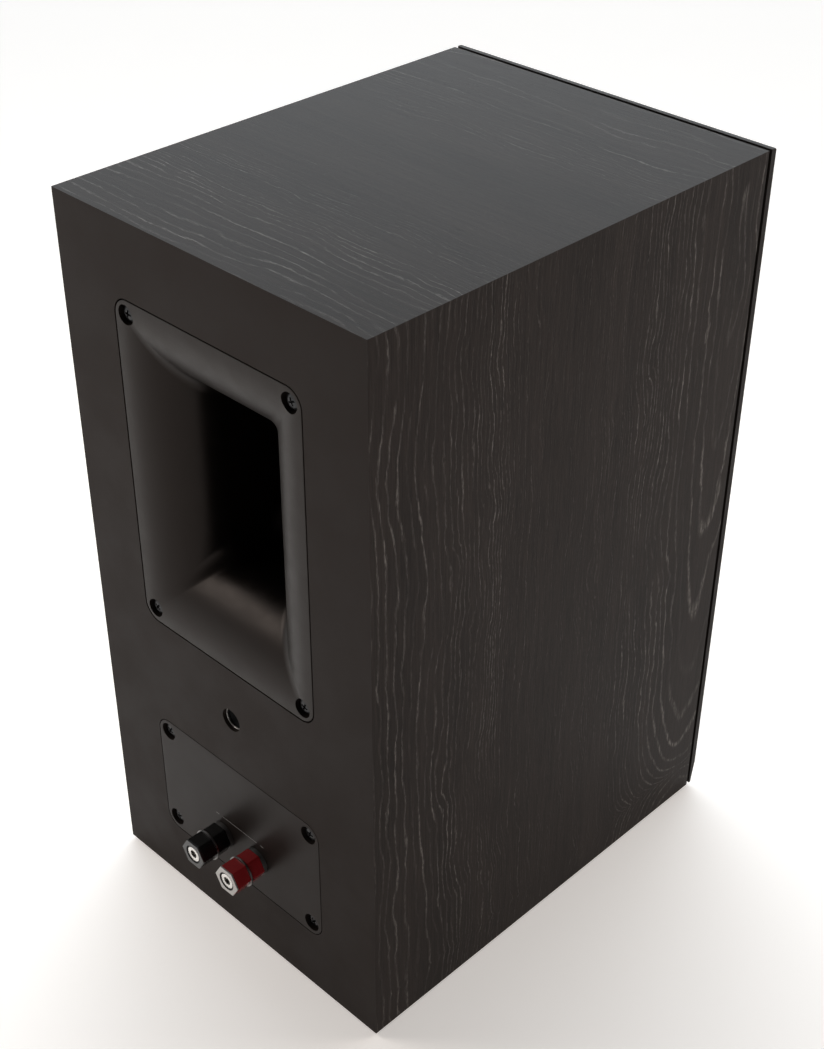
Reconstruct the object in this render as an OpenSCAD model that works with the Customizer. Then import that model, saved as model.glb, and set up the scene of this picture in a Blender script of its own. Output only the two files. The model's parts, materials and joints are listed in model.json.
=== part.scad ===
// Two-way bookshelf loudspeaker: a mitred wooden cabinet with a flared rear port, two binding posts,
// a horn-loaded dome tweeter and a cone woofer, with the crossover and the wiring inside.
// Frame: +Z is up, the front baffle faces -Y and the terminals face +Y. Lengths are in millimetres.
// Origin: on the surface that the feet stand on, midway between the front face and the post ends.

/* [Cabinet] */
// Width of the cabinet
cab_w = 181.4; // [178:0.2:190]
// Height of the cabinet without its feet
cab_h = 360; // [358:1:370]
// Depth from the front face of the baffle to the rear face
cab_d = 239.3; // [236:0.1:250]
// Thickness of the cabinet's panels
panel_t = 15; // [14:0.5:16]
// Height of the rubber feet
foot_h = 2; // [1:0.5:4]
// Radius of a foot
foot_r = 6; // [5:0.5:9]

/* [Front baffle] */
// Thickness of the lip that shows in front of the cabinet
lip_t = 3.1; // [2.5:0.1:4]
// Width of the dark groove behind the lip
groove_w = 2.1; // [1.5:0.1:3]
// Depth of that groove
groove_d = 4; // [2:0.5:6]
// Thickness of the part of the baffle that fits between the panels
plug_t = 12.7; // [11:0.1:14]
// Height of the chamfer along the bottom of the lip
chamfer_h = 14; // [8:1:18]

/* [Port] */
// Width of the port's flange
port_w = 111; // [109:0.5:113]
// Height of the port's flange
port_h = 160.4; // [158:0.2:164]
// Height of the port's centre above the cabinet's underside
port_z = 244.4; // [242:0.2:250]
// Inner radius of the port's tube
tube_r = 25; // [24:0.5:27]
// Length of the whole port behind the rear face
port_len = 120; // [112:1:126]

/* [Terminal plate] */
// Width of the terminal plate
term_w = 111; // [109:0.5:113]
// Height of the terminal plate
term_h = 69; // [68:0.5:72]
// Height of the plate's centre above the cabinet's underside
term_z = 69.5; // [68:0.5:71]
// Distance between the two posts
post_pitch = 24.2; // [22:0.1:26]
// Height of the posts above the cabinet's underside
post_z = 55.5; // [54:0.1:57]
// Height of the wall-bracket thread above the cabinet's underside
insert_z = 134.3; // [132:0.1:136]

/* [Drivers] */
// Height of the woofer's axis above the cabinet's underside
woofer_z = 99; // [98:0.5:101]
// Radius of the woofer's trim ring
trim_r = 78; // [76:0.5:79]
// Height of the tweeter's axis above the cabinet's underside
horn_z = 268; // [267:0.5:271]
// Side of the square horn plate
horn_w = 150; // [148:0.5:152]

/* [Hidden] */
$fn = 72;

// Screws: pan heads hold the rear plates and the horn, flat heads hold the woofer
screw_head_r = 3.5;
screw_head_h = 1.8;
screw_shank_r = 1.5;
screw_len = 11;
flat_head_r = 3.6;
flat_head_d = 1.8;
driver_shank_r = 2;
driver_screw_len = 18;
clearance = 0.1;

// Threaded metal insert for a wall bracket
insert_r = 5.8;
insert_recess = 1.8;
insert_len = 14;
insert_mouth_r = 5.1;
insert_thread_r = 3.2;
insert_mouth_d = 2;

// Stack of one binding post, outwards from the plate: collar, base, washer, knob
collar_t = 2.2;
collar_r = 7.0;
base_len = 7.4;
washer_t = 0.8;
washer_r = 7.9;
knob_len = 8.6;
hex_r = 7.8;
play = 0.05;
stud_r = 3.9;
stud_bore_r = 3.97;
socket_r = 2.05;
socket_len = 17;
shoulder_t = 1.5;
tag_t = 0.8;
post_out = collar_t + base_len + play + washer_t + play + knob_len;

front_y = -(cab_d + post_out) / 2;
rear_y = front_y + cab_d;
groove_y = front_y + lip_t;
shell_y = groove_y + groove_w;
shell_d = rear_y - shell_y;
inner_w = cab_w - 2 * panel_t;
inner_h = cab_h - 2 * panel_t;
bottom_z = foot_h;
top_z = foot_h + cab_h;
mid_z = foot_h + cab_h / 2;

// Rear plates: flush flanges on foam gaskets, in rebates of the rear panel
gasket_t = 1;
flange_t = 3.5;
flange_corner = 8;
port_gap = 0.6;
term_gap = 0.4;
rear_screw_inset = 6.7;
counterbore_r = 4.5;
counterbore_d = 2.9;
port_screw = [port_w / 2 - rear_screw_inset, port_h / 2 - rear_screw_inset];
term_screw = [term_w / 2 - rear_screw_inset, term_h / 2 - rear_screw_inset];
port_cut = [92, 138];
term_cut = [90, 46];
cut_corner = 8;

// Port flare: both pairs of walls leave the flange as quarter ellipses, run on as a tall duct,
// and ease into the round tube
rim = 3.5;
mouth_a = port_w / 2 - rim;
mouth_b = port_h / 2 - rim;
duct_a = 24.5;
duct_b = 44.7;
roll_x = 27;
roll_z = 28;
morph_from = 45;
morph_to = 76;
flare_wall = 2.5;
flare_len = 88;
tube_wall = 2.5;
tube_lap = 8;
bell_r = 10;

// Woofer, as depths behind the baffle's front face on the woofer's axis
ring_depth = 4.4;
lip_rubber = 0.6;
flange_top = -5;
flange_bottom = -8;
woofer_seat = -9;
basket_r = 72.5;
seat_r = 73;
basket_hole_r = 65;
surround_in = 46.5;
surround_out = 58;
surround_rise = 4;
cone_neck_r = 12.9;
cone_neck_z = -24;
coil_in_r = 12.5;
coil_end_z = -52;
gap_r = 13.65;
pole_r = 12.1;
top_plate_z = -48;
magnet_z = -54;
back_plate_z = -70;
shelf_z = -33;
woofer_end_z = -76;
woofer_screw_r = 68;

// Horn and tweeter, as depths behind the baffle's front face on the horn's axis
horn_plate_t = 5;
horn_rebate_gap = 0.4;
horn_corner = 6;
horn_cut = 122;
horn_mouth = 66;
horn_throat_r = 13.5;
horn_throat_z = -52;
horn_wall = 2.5;
horn_back_z = -57;
horn_screw = horn_w / 2 - 6.5;
dome_seat_z = -56.4;
dome_r = 12.5;
dome_rise = 5;
suspension_out = 17;
tweeter_plate_z = -57;
tweeter_magnet_z = -61;
tweeter_yoke_z = -71;
tweeter_end_z = -76;

// Crossover board on the bottom panel
board = [130, 88, 1.6];
board_y = 12;
spacer_h = 8;
board_z = bottom_z + panel_t + spacer_h;
board_top = board_z + board[2];
board_hole = [board[0] / 2 - 6, board[1] / 2 - 6];
board_screw_len = 18;

// Brace between the side panels, over the woofer and under the port
brace_z = 184;
brace_t = 12;
brace_y = [-62, 42];
brace_window = [96, 66];

wire_r = 1.3;
wire_gap = 4;
pad_z = board_top + wire_r + 0.1;

// ---------------------------------------------------------------- helpers

// Places children on the rear face at (x, height above the cabinet), with local +z pointing outwards
module at_rear(x, z) {
  translate([x, rear_y, bottom_z + z]) rotate([-90, 0, 0]) children();
}

// Places children on the front face at (x, height above the cabinet), with local +z pointing outwards
module at_front(x, z) {
  translate([x, front_y, bottom_z + z]) rotate([90, 0, 0]) children();
}

// Rectangle with rounded corners, centred
module round_rect(w, h, r) {
  square([w - 2 * r, h], center = true);
  square([w, h - 2 * r], center = true);
  for (sx = [-1, 1], sy = [-1, 1])
    translate([sx * (w / 2 - r), sy * (h / 2 - r)]) circle(r);
}

// Slab with rounded corners from height z0 up to height z1
module round_slab(w, h, r, z0, z1) {
  translate([0, 0, z0]) linear_extrude(z1 - z0) round_rect(w, h, r);
}

// Disc or tube about the local z axis
module disc(r, z0, z1) {
  translate([0, 0, z0]) cylinder(r = r, h = z1 - z0);
}

module ring(r_out, r_in, z0, z1) {
  difference() {
    disc(r_out, z0, z1);
    disc(r_in, z0 - 1, z1 + 1);
  }
}

// Children repeated at the four corners (+-p[0], +-p[1])
module corners(p) {
  for (sx = [-1, 1], sy = [-1, 1])
    translate([sx * p[0], sy * p[1], 0]) children();
}

// Cross-section of a panel with both long edges mitred: outer face of width w at y = t
function trapezoid(w, t) = [[-w / 2, t], [w / 2, t], [w / 2 - t, 0], [t - w / 2, 0]];

// Horizontal panel, outer face up, mitred along both sides and the rear, square at the front
module mitred_slab(w) {
  intersection() {
    rotate([90, 0, 0]) translate([0, 0, -shell_d])
      linear_extrude(shell_d) polygon(trapezoid(w, panel_t));
    rotate([90, 0, 90]) translate([0, 0, -w / 2]) linear_extrude(w)
      polygon([[0, panel_t], [shell_d, panel_t], [shell_d - panel_t, 0], [0, 0]]);
  }
}

// Pan-head screw with a cross recess; the head's seat is at z = 0 and the shank runs down
module pan_screw(head_r, head_h, shank_r, length) {
  slot_w = head_r * 0.3;
  slot_l = head_r * 1.15;
  edge = head_r * 0.3;
  difference() {
    rotate_extrude() polygon([[0, -length], [shank_r * 0.3, -length], [shank_r, -length + 3],
      [shank_r, 0], [head_r, 0], [head_r, head_h - edge], [head_r - edge, head_h], [0, head_h]]);
    for (a = [0, 90]) rotate(a)
      translate([-slot_l / 2, -slot_w / 2, head_h * 0.35]) cube([slot_l, slot_w, head_h]);
  }
}

// Outline of a rounded rectangle with half sides a and b and corner radius r, at height z
arc_steps = 8;
ring_points = 4 * (arc_steps + 1);
function outline(a, b, r, z) = [for (q = [0:3], k = [0:arc_steps])
  let (t = q * 90 + k * 90 / arc_steps,
       cx = (q == 0 || q == 3) ? a - r : r - a,
       cy = q < 2 ? b - r : r - b)
  [cx + r * cos(t), cy + r * sin(t), z]];

// Closed solid through a list of outlines whose heights fall from first to last
module loft(rings) {
  n = ring_points;
  last = (len(rings) - 1) * n;
  sides = [for (i = [0:len(rings) - 2], j = [0:n - 1], half = [0, 1])
    let (k = (j + 1) % n, a = i * n, b = a + n)
    half == 0 ? [a + j, a + k, b + k] : [a + j, b + k, b + j]];
  polyhedron(points = [for (r = rings) each r],
    faces = concat([[for (j = [n - 1:-1:0]) j]], sides, [[for (j = [0:n - 1]) last + j]]));
}

// How far a wall has moved in at depth s, when it rolls in by e over the depth l
function roll(s, e, l) = e * sqrt(1 - pow(1 - min(s, l) / l, 2));

// Smooth step from 0 at s = a to 1 at s = b
function ease(s, a, b) = let (u = max(0, min(1, (s - a) / (b - a)))) u * u * (3 - 2 * u);

// Depths that crowd together near the mouth, where the wall turns fastest
function depths(total, n) = [for (i = [0:n]) total * pow(i / n, 2)];

// Round wire swept through smoothed points; 8-sided, with rings square to its path
function bezier(p, t) = let (u = 1 - t)
  u * u * u * p[0] + 3 * u * u * t * p[1] + 3 * u * t * t * p[2] + t * t * t * p[3];
function unit(v) = v / norm(v);
module wire(p, r) {
  steps = 22;
  sides = 8;
  path = [for (i = [0:steps]) bezier(p, i / steps)];
  dirs = [for (i = [0:steps]) unit(path[min(i + 1, steps)] - path[max(i - 1, 0)])];
  side_ref = unit(cross(p[3] - p[0], p[1] - p[0]) + [0.001, 0.002, 0.003]);
  rings = [for (i = [0:steps])
    let (u = unit(cross(dirs[i], side_ref)), v = cross(dirs[i], u))
    [for (k = [0:sides - 1]) path[i] + r * (cos(k * 360 / sides) * u + sin(k * 360 / sides) * v)]];
  faces = [for (i = [0:steps - 1], k = [0:sides - 1], half = [0, 1])
    let (m = (k + 1) % sides, a = i * sides, b = a + sides)
    half == 0 ? [a + k, b + k, b + m] : [a + k, b + m, a + m]];
  polyhedron(points = [for (g = rings) each g],
    faces = concat([[for (k = [0:sides - 1]) k]], faces,
      [[for (k = [sides - 1:-1:0]) steps * sides + k]]));
}

// ---------------------------------------------------------------- cabinet

module top_panel() {
  color([0.24, 0.24, 0.23]) translate([0, shell_y, top_z - panel_t]) mitred_slab(cab_w);
}

module bottom_panel() {
  color([0.2, 0.19, 0.18]) difference() {
    translate([0, shell_y, bottom_z + panel_t]) mirror([0, 0, 1]) mitred_slab(cab_w);
    translate([0, board_y, 0]) corners(board_hole)
      disc(screw_shank_r + clearance, board_top - board_screw_len - 0.3, board_top);
  }
}

module side_panel() {
  translate([cab_w / 2 - panel_t, shell_y, mid_z]) rotate([0, 90, 0]) mitred_slab(cab_h);
}

module right_panel() {
  color([0.2, 0.19, 0.18]) side_panel();
}

module left_panel() {
  color([0.2, 0.19, 0.18]) mirror([1, 0, 0]) side_panel();
}

module rear_panel() {
  color([0.22, 0.2, 0.19]) difference() {
    translate([0, rear_y - panel_t, mid_z]) intersection() {
      linear_extrude(cab_h, center = true) polygon(trapezoid(cab_w, panel_t));
      rotate([0, 90, 0]) linear_extrude(cab_w, center = true) polygon(trapezoid(cab_h, panel_t));
    }
    at_rear(0, port_z) {
      round_slab(port_w + 2 * port_gap, port_h + 2 * port_gap, flange_corner + port_gap,
        -flange_t - gasket_t, 1);
      round_slab(port_cut[0], port_cut[1], cut_corner, -panel_t - 1, 0);
      corners(port_screw) disc(screw_shank_r + clearance, -panel_t - 1, 0);
    }
    at_rear(0, term_z) {
      round_slab(term_w + 2 * term_gap, term_h + 2 * term_gap, flange_corner + term_gap,
        -flange_t - gasket_t, 1);
      round_slab(term_cut[0], term_cut[1], cut_corner, -panel_t - 1, 0);
      corners(term_screw) disc(screw_shank_r + clearance, -panel_t - 1, 0);
    }
    at_rear(0, insert_z) disc(insert_r, -panel_t - 1, 1);
  }
}

module front_baffle() {
  lip_chamfer = 2;
  top_ease = 0.8;
  color([0.14, 0.13, 0.13]) difference() {
    union() {
      translate([-inner_w / 2, shell_y, bottom_z + panel_t]) cube([inner_w, plug_t, inner_h]);
      translate([groove_d - cab_w / 2, groove_y, bottom_z + groove_d])
        cube([cab_w - 2 * groove_d, groove_w, cab_h - 2 * groove_d]);
      rotate([90, 0, 90]) translate([0, 0, -cab_w / 2]) linear_extrude(cab_w)
        polygon([[front_y, bottom_z + chamfer_h], [front_y, top_z - top_ease],
          [front_y + top_ease, top_z], [groove_y, top_z], [groove_y, bottom_z],
          [front_y + lip_chamfer, bottom_z]]);
    }
    at_front(0, woofer_z) {
      disc(trim_r + 0.3, -ring_depth, 1);
      disc(seat_r, woofer_seat, 0);
      disc(basket_hole_r, -panel_t - 10, 0);
      woofer_fixings() disc(driver_shank_r + clearance, -lip_t - groove_w - plug_t - 1, 0);
    }
    at_front(0, horn_z) {
      round_slab(horn_w + 2 * horn_rebate_gap, horn_w + 2 * horn_rebate_gap,
        horn_corner + horn_rebate_gap, -horn_plate_t - gasket_t, 1);
      round_slab(horn_cut, horn_cut, horn_corner * 2, -panel_t - 10, 0);
      corners([horn_screw, horn_screw])
        disc(screw_shank_r + clearance, -lip_t - groove_w - plug_t - 1, 0);
    }
  }
}

module internal_brace() {
  color([0.6, 0.48, 0.34]) difference() {
    translate([-inner_w / 2, brace_y[0], brace_z]) cube([inner_w, brace_y[1] - brace_y[0], brace_t]);
    translate([0, (brace_y[0] + brace_y[1]) / 2, brace_z - 1])
      linear_extrude(brace_t + 2) round_rect(brace_window[0], brace_window[1], 12);
  }
}

// Damping pads on the side walls, below and above the brace, and one under the top panel
module acoustic_lining() {
  pad_t = 10;
  pad_y = [-55, 60];
  gap = 0.2;
  color([0.78, 0.77, 0.74]) {
    for (side = [-1, 1], z = [[64, 170], [206, 330]])
      translate([side * (inner_w / 2 - pad_t / 2 - gap), (pad_y[0] + pad_y[1]) / 2, (z[0] + z[1]) / 2])
        cube([pad_t, pad_y[1] - pad_y[0], z[1] - z[0]], center = true);
    translate([0, 0, top_z - panel_t - pad_t / 2 - gap]) cube([118, 104, pad_t], center = true);
  }
}

module rubber_feet() {
  inset = 18;
  color([0.08, 0.08, 0.08])
    for (x = [-1, 1], y = [shell_y + inset, rear_y - inset])
      translate([x * (cab_w / 2 - inset), y, 0]) rotate_extrude()
        polygon([[0, 0], [foot_r - 0.5, 0], [foot_r, foot_h / 2], [foot_r, foot_h], [0, foot_h]]);
}

// ---------------------------------------------------------------- port

// Rings of the flare's inner surface, widened by w and set back by w
function port_rings(w) = [for (s = depths(flare_len, 18))
  let (m = ease(s, morph_from, morph_to),
       a = mouth_a - roll(s, mouth_a - duct_a, roll_x) + m * (tube_r - duct_a) + w,
       b = mouth_b - roll(s, mouth_b - duct_b, roll_z) - m * (duct_b - tube_r) + w,
       r = 2.5 + 7.5 * min(1, s / roll_x) + m * (0.98 * tube_r - 10) + w)
  outline(a, b, r, -s - w)];

module port_flare() {
  inner = port_rings(0);
  lead_in = [for (p = inner[0]) [p[0], p[1], 1]];
  tail = [for (p = inner[len(inner) - 1]) [p[0], p[1], -flare_len - flare_wall - 1]];
  color([0.13, 0.12, 0.12]) at_rear(0, port_z) difference() {
    union() {
      round_slab(port_w, port_h, flange_corner, -flange_t, 0);
      difference() {
        loft(port_rings(flare_wall));
        disc(100, -flare_len - flare_wall - 1, -flare_len);
      }
    }
    loft(concat([lead_in], inner, [tail]));
    corners(port_screw) {
      disc(screw_shank_r + clearance, -flange_t - 1, 1);
      disc(counterbore_r, -counterbore_d, 1);
    }
  }
}

// Straight tube that laps over the flare's end and ends in a rounded bell inside the cabinet
module port_tube() {
  socket_in = tube_r + flare_wall + 0.4;
  socket_out = socket_in + tube_wall;
  shoulder = -flare_len - 3;
  lap_z = -flare_len + tube_lap;
  steps = 8;
  function bell(w) = [for (i = [0:steps]) let (t = i * 90 / steps)
    [tube_r + w + bell_r * (1 - cos(t)), w - port_len + bell_r * (1 - sin(t))]];
  back = bell(tube_wall);
  color([0.1, 0.1, 0.1]) at_rear(0, port_z) rotate_extrude()
    polygon(concat([[tube_r, -flare_len]], bell(0), [for (i = [steps:-1:0]) back[i]],
      [[tube_r + tube_wall, shoulder], [socket_out, shoulder], [socket_out, lap_z],
       [socket_in, lap_z], [socket_in, -flare_len]]));
}

module port_gasket() {
  color([0.2, 0.2, 0.2]) at_rear(0, port_z) difference() {
    round_slab(port_w - 2, port_h - 2, flange_corner - 1, -flange_t - gasket_t, -flange_t);
    round_slab(port_w - 14, port_h - 14, cut_corner, -flange_t - gasket_t - 1, 0);
    corners(port_screw) disc(screw_shank_r + clearance, -flange_t - gasket_t - 1, 0);
  }
}

module port_screws() {
  color([0.07, 0.07, 0.07]) at_rear(0, port_z) corners(port_screw)
    translate([0, 0, -counterbore_d])
      pan_screw(screw_head_r, screw_head_h, screw_shank_r, screw_len);
}

// ---------------------------------------------------------------- terminals

module terminal_plate() {
  color([0.2, 0.19, 0.18]) at_rear(0, term_z) difference() {
    round_slab(term_w, term_h, flange_corner, -flange_t, 0);
    corners(term_screw) {
      disc(screw_shank_r + clearance, -flange_t - 1, 1);
      disc(counterbore_r, -counterbore_d, 1);
    }
    posts_on_plate() disc(stud_r, -flange_t - 1, 1);
  }
}

// Children at both posts, in the terminal plate's own frame
module posts_on_plate() {
  for (side = [-1, 1]) translate([side * post_pitch / 2, term_z - post_z, 0]) children();
}

module terminal_gasket() {
  color([0.2, 0.2, 0.2]) at_rear(0, term_z) difference() {
    round_slab(term_w - 2, term_h - 2, flange_corner - 1, -flange_t - gasket_t, -flange_t);
    round_slab(term_cut[0], term_cut[1], cut_corner, -flange_t - gasket_t - 1, 0);
    corners(term_screw) disc(screw_shank_r + clearance, -flange_t - gasket_t - 1, 0);
  }
}

module terminal_screws() {
  color([0.07, 0.07, 0.07]) at_rear(0, term_z) corners(term_screw)
    translate([0, 0, -counterbore_d])
      pan_screw(screw_head_r, screw_head_h, screw_shank_r, screw_len);
}

module wall_mount_insert() {
  back = -insert_recess - insert_len;
  color([0.62, 0.6, 0.56]) at_rear(0, insert_z) difference() {
    disc(insert_r, back, -insert_recess);
    disc(insert_thread_r, back - 1, 0);
    disc(insert_mouth_r, -insert_recess - insert_mouth_d, 0);
  }
}

// side is +1 for the black post and -1 for the red one
module at_post(side) {
  at_rear(side * post_pitch / 2, post_z) children();
}

module post_collars() {
  color([0.32, 0.31, 0.3]) for (side = [-1, 1]) at_post(side) ring(collar_r, stud_r, 0, collar_t);
}

// Stud with the plug socket in its outer end and a shoulder behind the plate
stud_end_z = post_out - 0.3;
module stud() {
  difference() {
    union() {
      disc(stud_r, -flange_t - 13, stud_end_z);
      disc(stud_r + 1, -flange_t - shoulder_t, -flange_t);
    }
    disc(socket_r, stud_end_z - socket_len, stud_end_z + 1);
  }
}

module black_post() {
  color([0.75, 0.73, 0.68]) at_post(1) stud();
}

module red_post() {
  color([0.75, 0.73, 0.68]) at_post(-1) stud();
}

// Six-sided body with turned-down corners
module hex_body(z0, z1, r_in, r_corner) {
  difference() {
    intersection() {
      translate([0, 0, z0]) cylinder(r = hex_r, h = z1 - z0, $fn = 6);
      disc(r_corner, z0, z1);
    }
    disc(r_in, z0 - 1, z1 + 1);
  }
}

module post_base() {
  hex_body(collar_t, collar_t + base_len, stud_r, 7.5);
}

module black_post_base() {
  color([0.06, 0.06, 0.06]) at_post(1) post_base();
}

module red_post_base() {
  color([0.5, 0.04, 0.05]) at_post(-1) post_base();
}

washer_z = collar_t + base_len + play;
module clamp_washer() {
  ring(washer_r, stud_bore_r, washer_z, washer_z + washer_t);
}

module black_clamp_washer() {
  color([0.7, 0.7, 0.68]) at_post(1) clamp_washer();
}

module red_clamp_washer() {
  color([0.7, 0.7, 0.68]) at_post(-1) clamp_washer();
}

// Knob: a coloured hexagonal sleeve on a metal core, whose end plate covers the sleeve
knob_z = washer_z + washer_t + play;
knob_end = knob_z + knob_len;
core_r = 5.4;
end_plate_t = 0.9;
module knob_sleeve() {
  hex_body(knob_z, knob_end - end_plate_t, core_r, hex_r + 1);
}

module knob_core() {
  sink_r = 4.7;
  sink_d = 0.8;
  difference() {
    union() {
      disc(core_r, knob_z, knob_end);
      hex_body(knob_end - end_plate_t, knob_end, stud_r, hex_r + 1);
    }
    disc(stud_bore_r, knob_z - 1, knob_end + 1);
    translate([0, 0, knob_end - sink_d]) cylinder(r1 = stud_bore_r, r2 = sink_r, h = sink_d);
  }
}

module black_knob() {
  color([0.05, 0.05, 0.05]) at_post(1) knob_sleeve();
}

module red_knob() {
  color([0.62, 0.03, 0.05]) at_post(-1) knob_sleeve();
}

module black_knob_core() {
  color([0.45, 0.45, 0.45]) at_post(1) knob_core();
}

module red_knob_core() {
  color([0.85, 0.83, 0.8]) at_post(-1) knob_core();
}

tag_z = -flange_t - shoulder_t - tag_t;
tag_len = 16;
tag_hole = 13;
module solder_tags() {
  tag_w = 5;
  color([0.8, 0.72, 0.45]) for (side = [-1, 1]) at_post(side) difference() {
    union() {
      disc(6.2, tag_z, tag_z + tag_t);
      translate([-tag_w / 2, -tag_len, tag_z]) cube([tag_w, tag_len, tag_t]);
    }
    disc(stud_r, tag_z - 1, tag_z + 2);
    translate([0, -tag_hole, 0]) disc(1.2, tag_z - 1, tag_z + 2);
  }
}

module post_nuts() {
  nut_t = 3.2;
  nut_r = 7;
  color([0.78, 0.76, 0.7]) for (side = [-1, 1]) at_post(side) difference() {
    translate([0, 0, tag_z - nut_t]) cylinder(r = nut_r, h = nut_t, $fn = 6);
    disc(stud_r, tag_z - nut_t - 1, tag_z + 1);
  }
}

// ---------------------------------------------------------------- crossover and wiring

module on_board(x, y) {
  translate([x, board_y + y, board_top]) children();
}

module crossover_board() {
  color([0.16, 0.33, 0.2]) translate([0, board_y, 0]) difference() {
    translate([0, 0, board_z]) linear_extrude(board[2]) round_rect(board[0], board[1], 4);
    corners(board_hole) disc(1.7, board_z - 1, board_top + 1);
  }
}

module crossover_spacers() {
  color([0.75, 0.74, 0.7]) translate([0, board_y, 0])
    corners(board_hole) ring(4, 1.7, board_z - spacer_h, board_z);
}

module crossover_screws() {
  color([0.5, 0.5, 0.5]) translate([0, board_y, 0])
    corners(board_hole) translate([0, 0, board_top]) pan_screw(3, screw_head_h, screw_shank_r, board_screw_len);
}

// Air-cored coil wound between two bobbin cheeks
module inductor(r_out, r_in, h) {
  cheek = 1.2;
  ring(r_out + 1.5, r_in - 1.5, 0, cheek);
  ring(r_out, r_in - 1.5, cheek, h - cheek);
  ring(r_out + 1.5, r_in - 1.5, h - cheek, h);
}

module woofer_inductor() {
  color([0.72, 0.42, 0.2]) on_board(-36, 14) inductor(19, 9, 24);
}

module tweeter_inductor() {
  color([0.72, 0.42, 0.2]) on_board(40, 20) inductor(14, 7, 14);
}

// Cylinder lying on the board along X
module lying_can(r, l) {
  translate([-l / 2, 0, r]) rotate([0, 90, 0]) cylinder(r = r, h = l);
}

module capacitors() {
  color([0.15, 0.17, 0.3]) {
    on_board(-30, -26) lying_can(9, 38);
    on_board(8, 4) rotate(90) lying_can(7.5, 34);
    on_board(46, -10) lying_can(6, 24);
  }
}

module resistors() {
  color([0.85, 0.83, 0.78]) for (y = [-24, -36]) on_board(18, y)
    translate([-11, -4.5, 0]) cube([22, 9, 9]);
}

// Two wires that run side by side, gap apart along X
module wire_pair(p, gap) {
  for (side = [-1, 1]) wire([for (q = p) q + [side * gap / 2, 0, 0]], wire_r);
}

// From the solder tags behind the posts down to the board's rear edge
module input_wires() {
  tag_y = rear_y + tag_z - wire_r;
  hole_z = bottom_z + post_z + tag_hole;
  pad_x = 8;
  color([0.12, 0.12, 0.12]) for (side = [-1, 1])
    wire([[side * post_pitch / 2, tag_y, hole_z], [side * post_pitch / 2, tag_y - 30, hole_z],
      [side * pad_x, board_y + 62, board_top + 14], [side * pad_x, board_y + 36, pad_z]], wire_r);
}

// From the board's front edge up to the terminal block on the woofer's basket
module woofer_wires() {
  tag_y = front_y + 40;
  tag_z = bottom_z + woofer_z - 5;
  color([0.15, 0.15, 0.15])
    wire_pair([[52, board_y - 34, pad_z], [58, board_y - 74, pad_z + 2],
      [48, tag_y, tag_z - 46], [48, tag_y, tag_z]], wire_gap);
}

// From the board up behind the woofer's magnet, through the brace, to the back of the tweeter
module tweeter_wires() {
  pass = [-30, -18, brace_z - 6];
  end = [-14, front_y - tweeter_end_z, bottom_z + horn_z - 20];
  color([0.15, 0.15, 0.15]) {
    wire_pair([[0, board_y - 22, pad_z], [0, board_y + 10, pad_z + 40],
      pass - [0, 0, 58], pass], wire_gap);
    wire_pair([pass, pass + [0, 0, 32], end + [0, 24, -12], end], wire_gap);
  }
}

// ---------------------------------------------------------------- woofer

module woofer_fixings() {
  for (a = [45:90:315]) rotate(a) translate([woofer_screw_r, 0, 0]) children();
}

// Cast frame: flange, six-spoked cone, spider shelf, terminal block and a ring on the top plate
module woofer_basket() {
  spokes = 6;
  window = [40, 30, 16];
  block = [8, 10, 8];
  color([0.17, 0.17, 0.18]) at_front(0, woofer_z) difference() {
    union() {
      difference() {
        rotate_extrude() polygon([[60, flange_top], [basket_r, flange_top],
          [basket_r, flange_bottom], [64.5, flange_bottom], [62, flange_bottom - 4],
          [45, shelf_z - 2], [41, top_plate_z], [gap_r + 3, top_plate_z],
          [gap_r + 3, top_plate_z + 2.5], [36, top_plate_z + 2.5], [38, shelf_z - 1],
          [36, shelf_z - 1], [36, shelf_z], [42, shelf_z], [59, flange_bottom - 3]]);
        for (k = [0:spokes - 1]) rotate((k + 0.5) * 360 / spokes)
          translate([40, -window[1] / 2, shelf_z + 2]) cube(window);
      }
      translate([42.5, -block[1] / 2, top_plate_z + 4]) cube(block);
    }
    woofer_fixings() {
      disc(driver_shank_r + clearance, flange_bottom - 1, 0);
      translate([0, 0, flange_top - flat_head_d])
        cylinder(r1 = driver_shank_r + clearance, r2 = flat_head_r + clearance, h = flat_head_d);
    }
  }
}

module woofer_trim_ring() {
  color([0.1, 0.1, 0.1]) at_front(0, woofer_z) rotate_extrude()
    polygon([[59.5, -ring_depth], [trim_r, -ring_depth], [trim_r, -0.8], [trim_r - 0.8, 0],
      [66, 0], [63, -0.9], [60.5, -2.6]]);
}

module driver_gaskets() {
  color([0.2, 0.2, 0.2]) {
    at_front(0, woofer_z) difference() {
      ring(basket_r, basket_hole_r, woofer_seat, flange_bottom);
      woofer_fixings() disc(driver_shank_r + clearance, woofer_seat - 1, 0);
    }
    at_front(0, horn_z) difference() {
      round_slab(horn_w - 2, horn_w - 2, horn_corner - 1, -horn_plate_t - gasket_t, -horn_plate_t);
      round_slab(horn_cut + 6, horn_cut + 6, horn_corner * 2, -horn_plate_t - gasket_t - 1, 0);
      corners([horn_screw, horn_screw])
        disc(screw_shank_r + clearance, -horn_plate_t - gasket_t - 1, 0);
    }
  }
}

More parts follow.
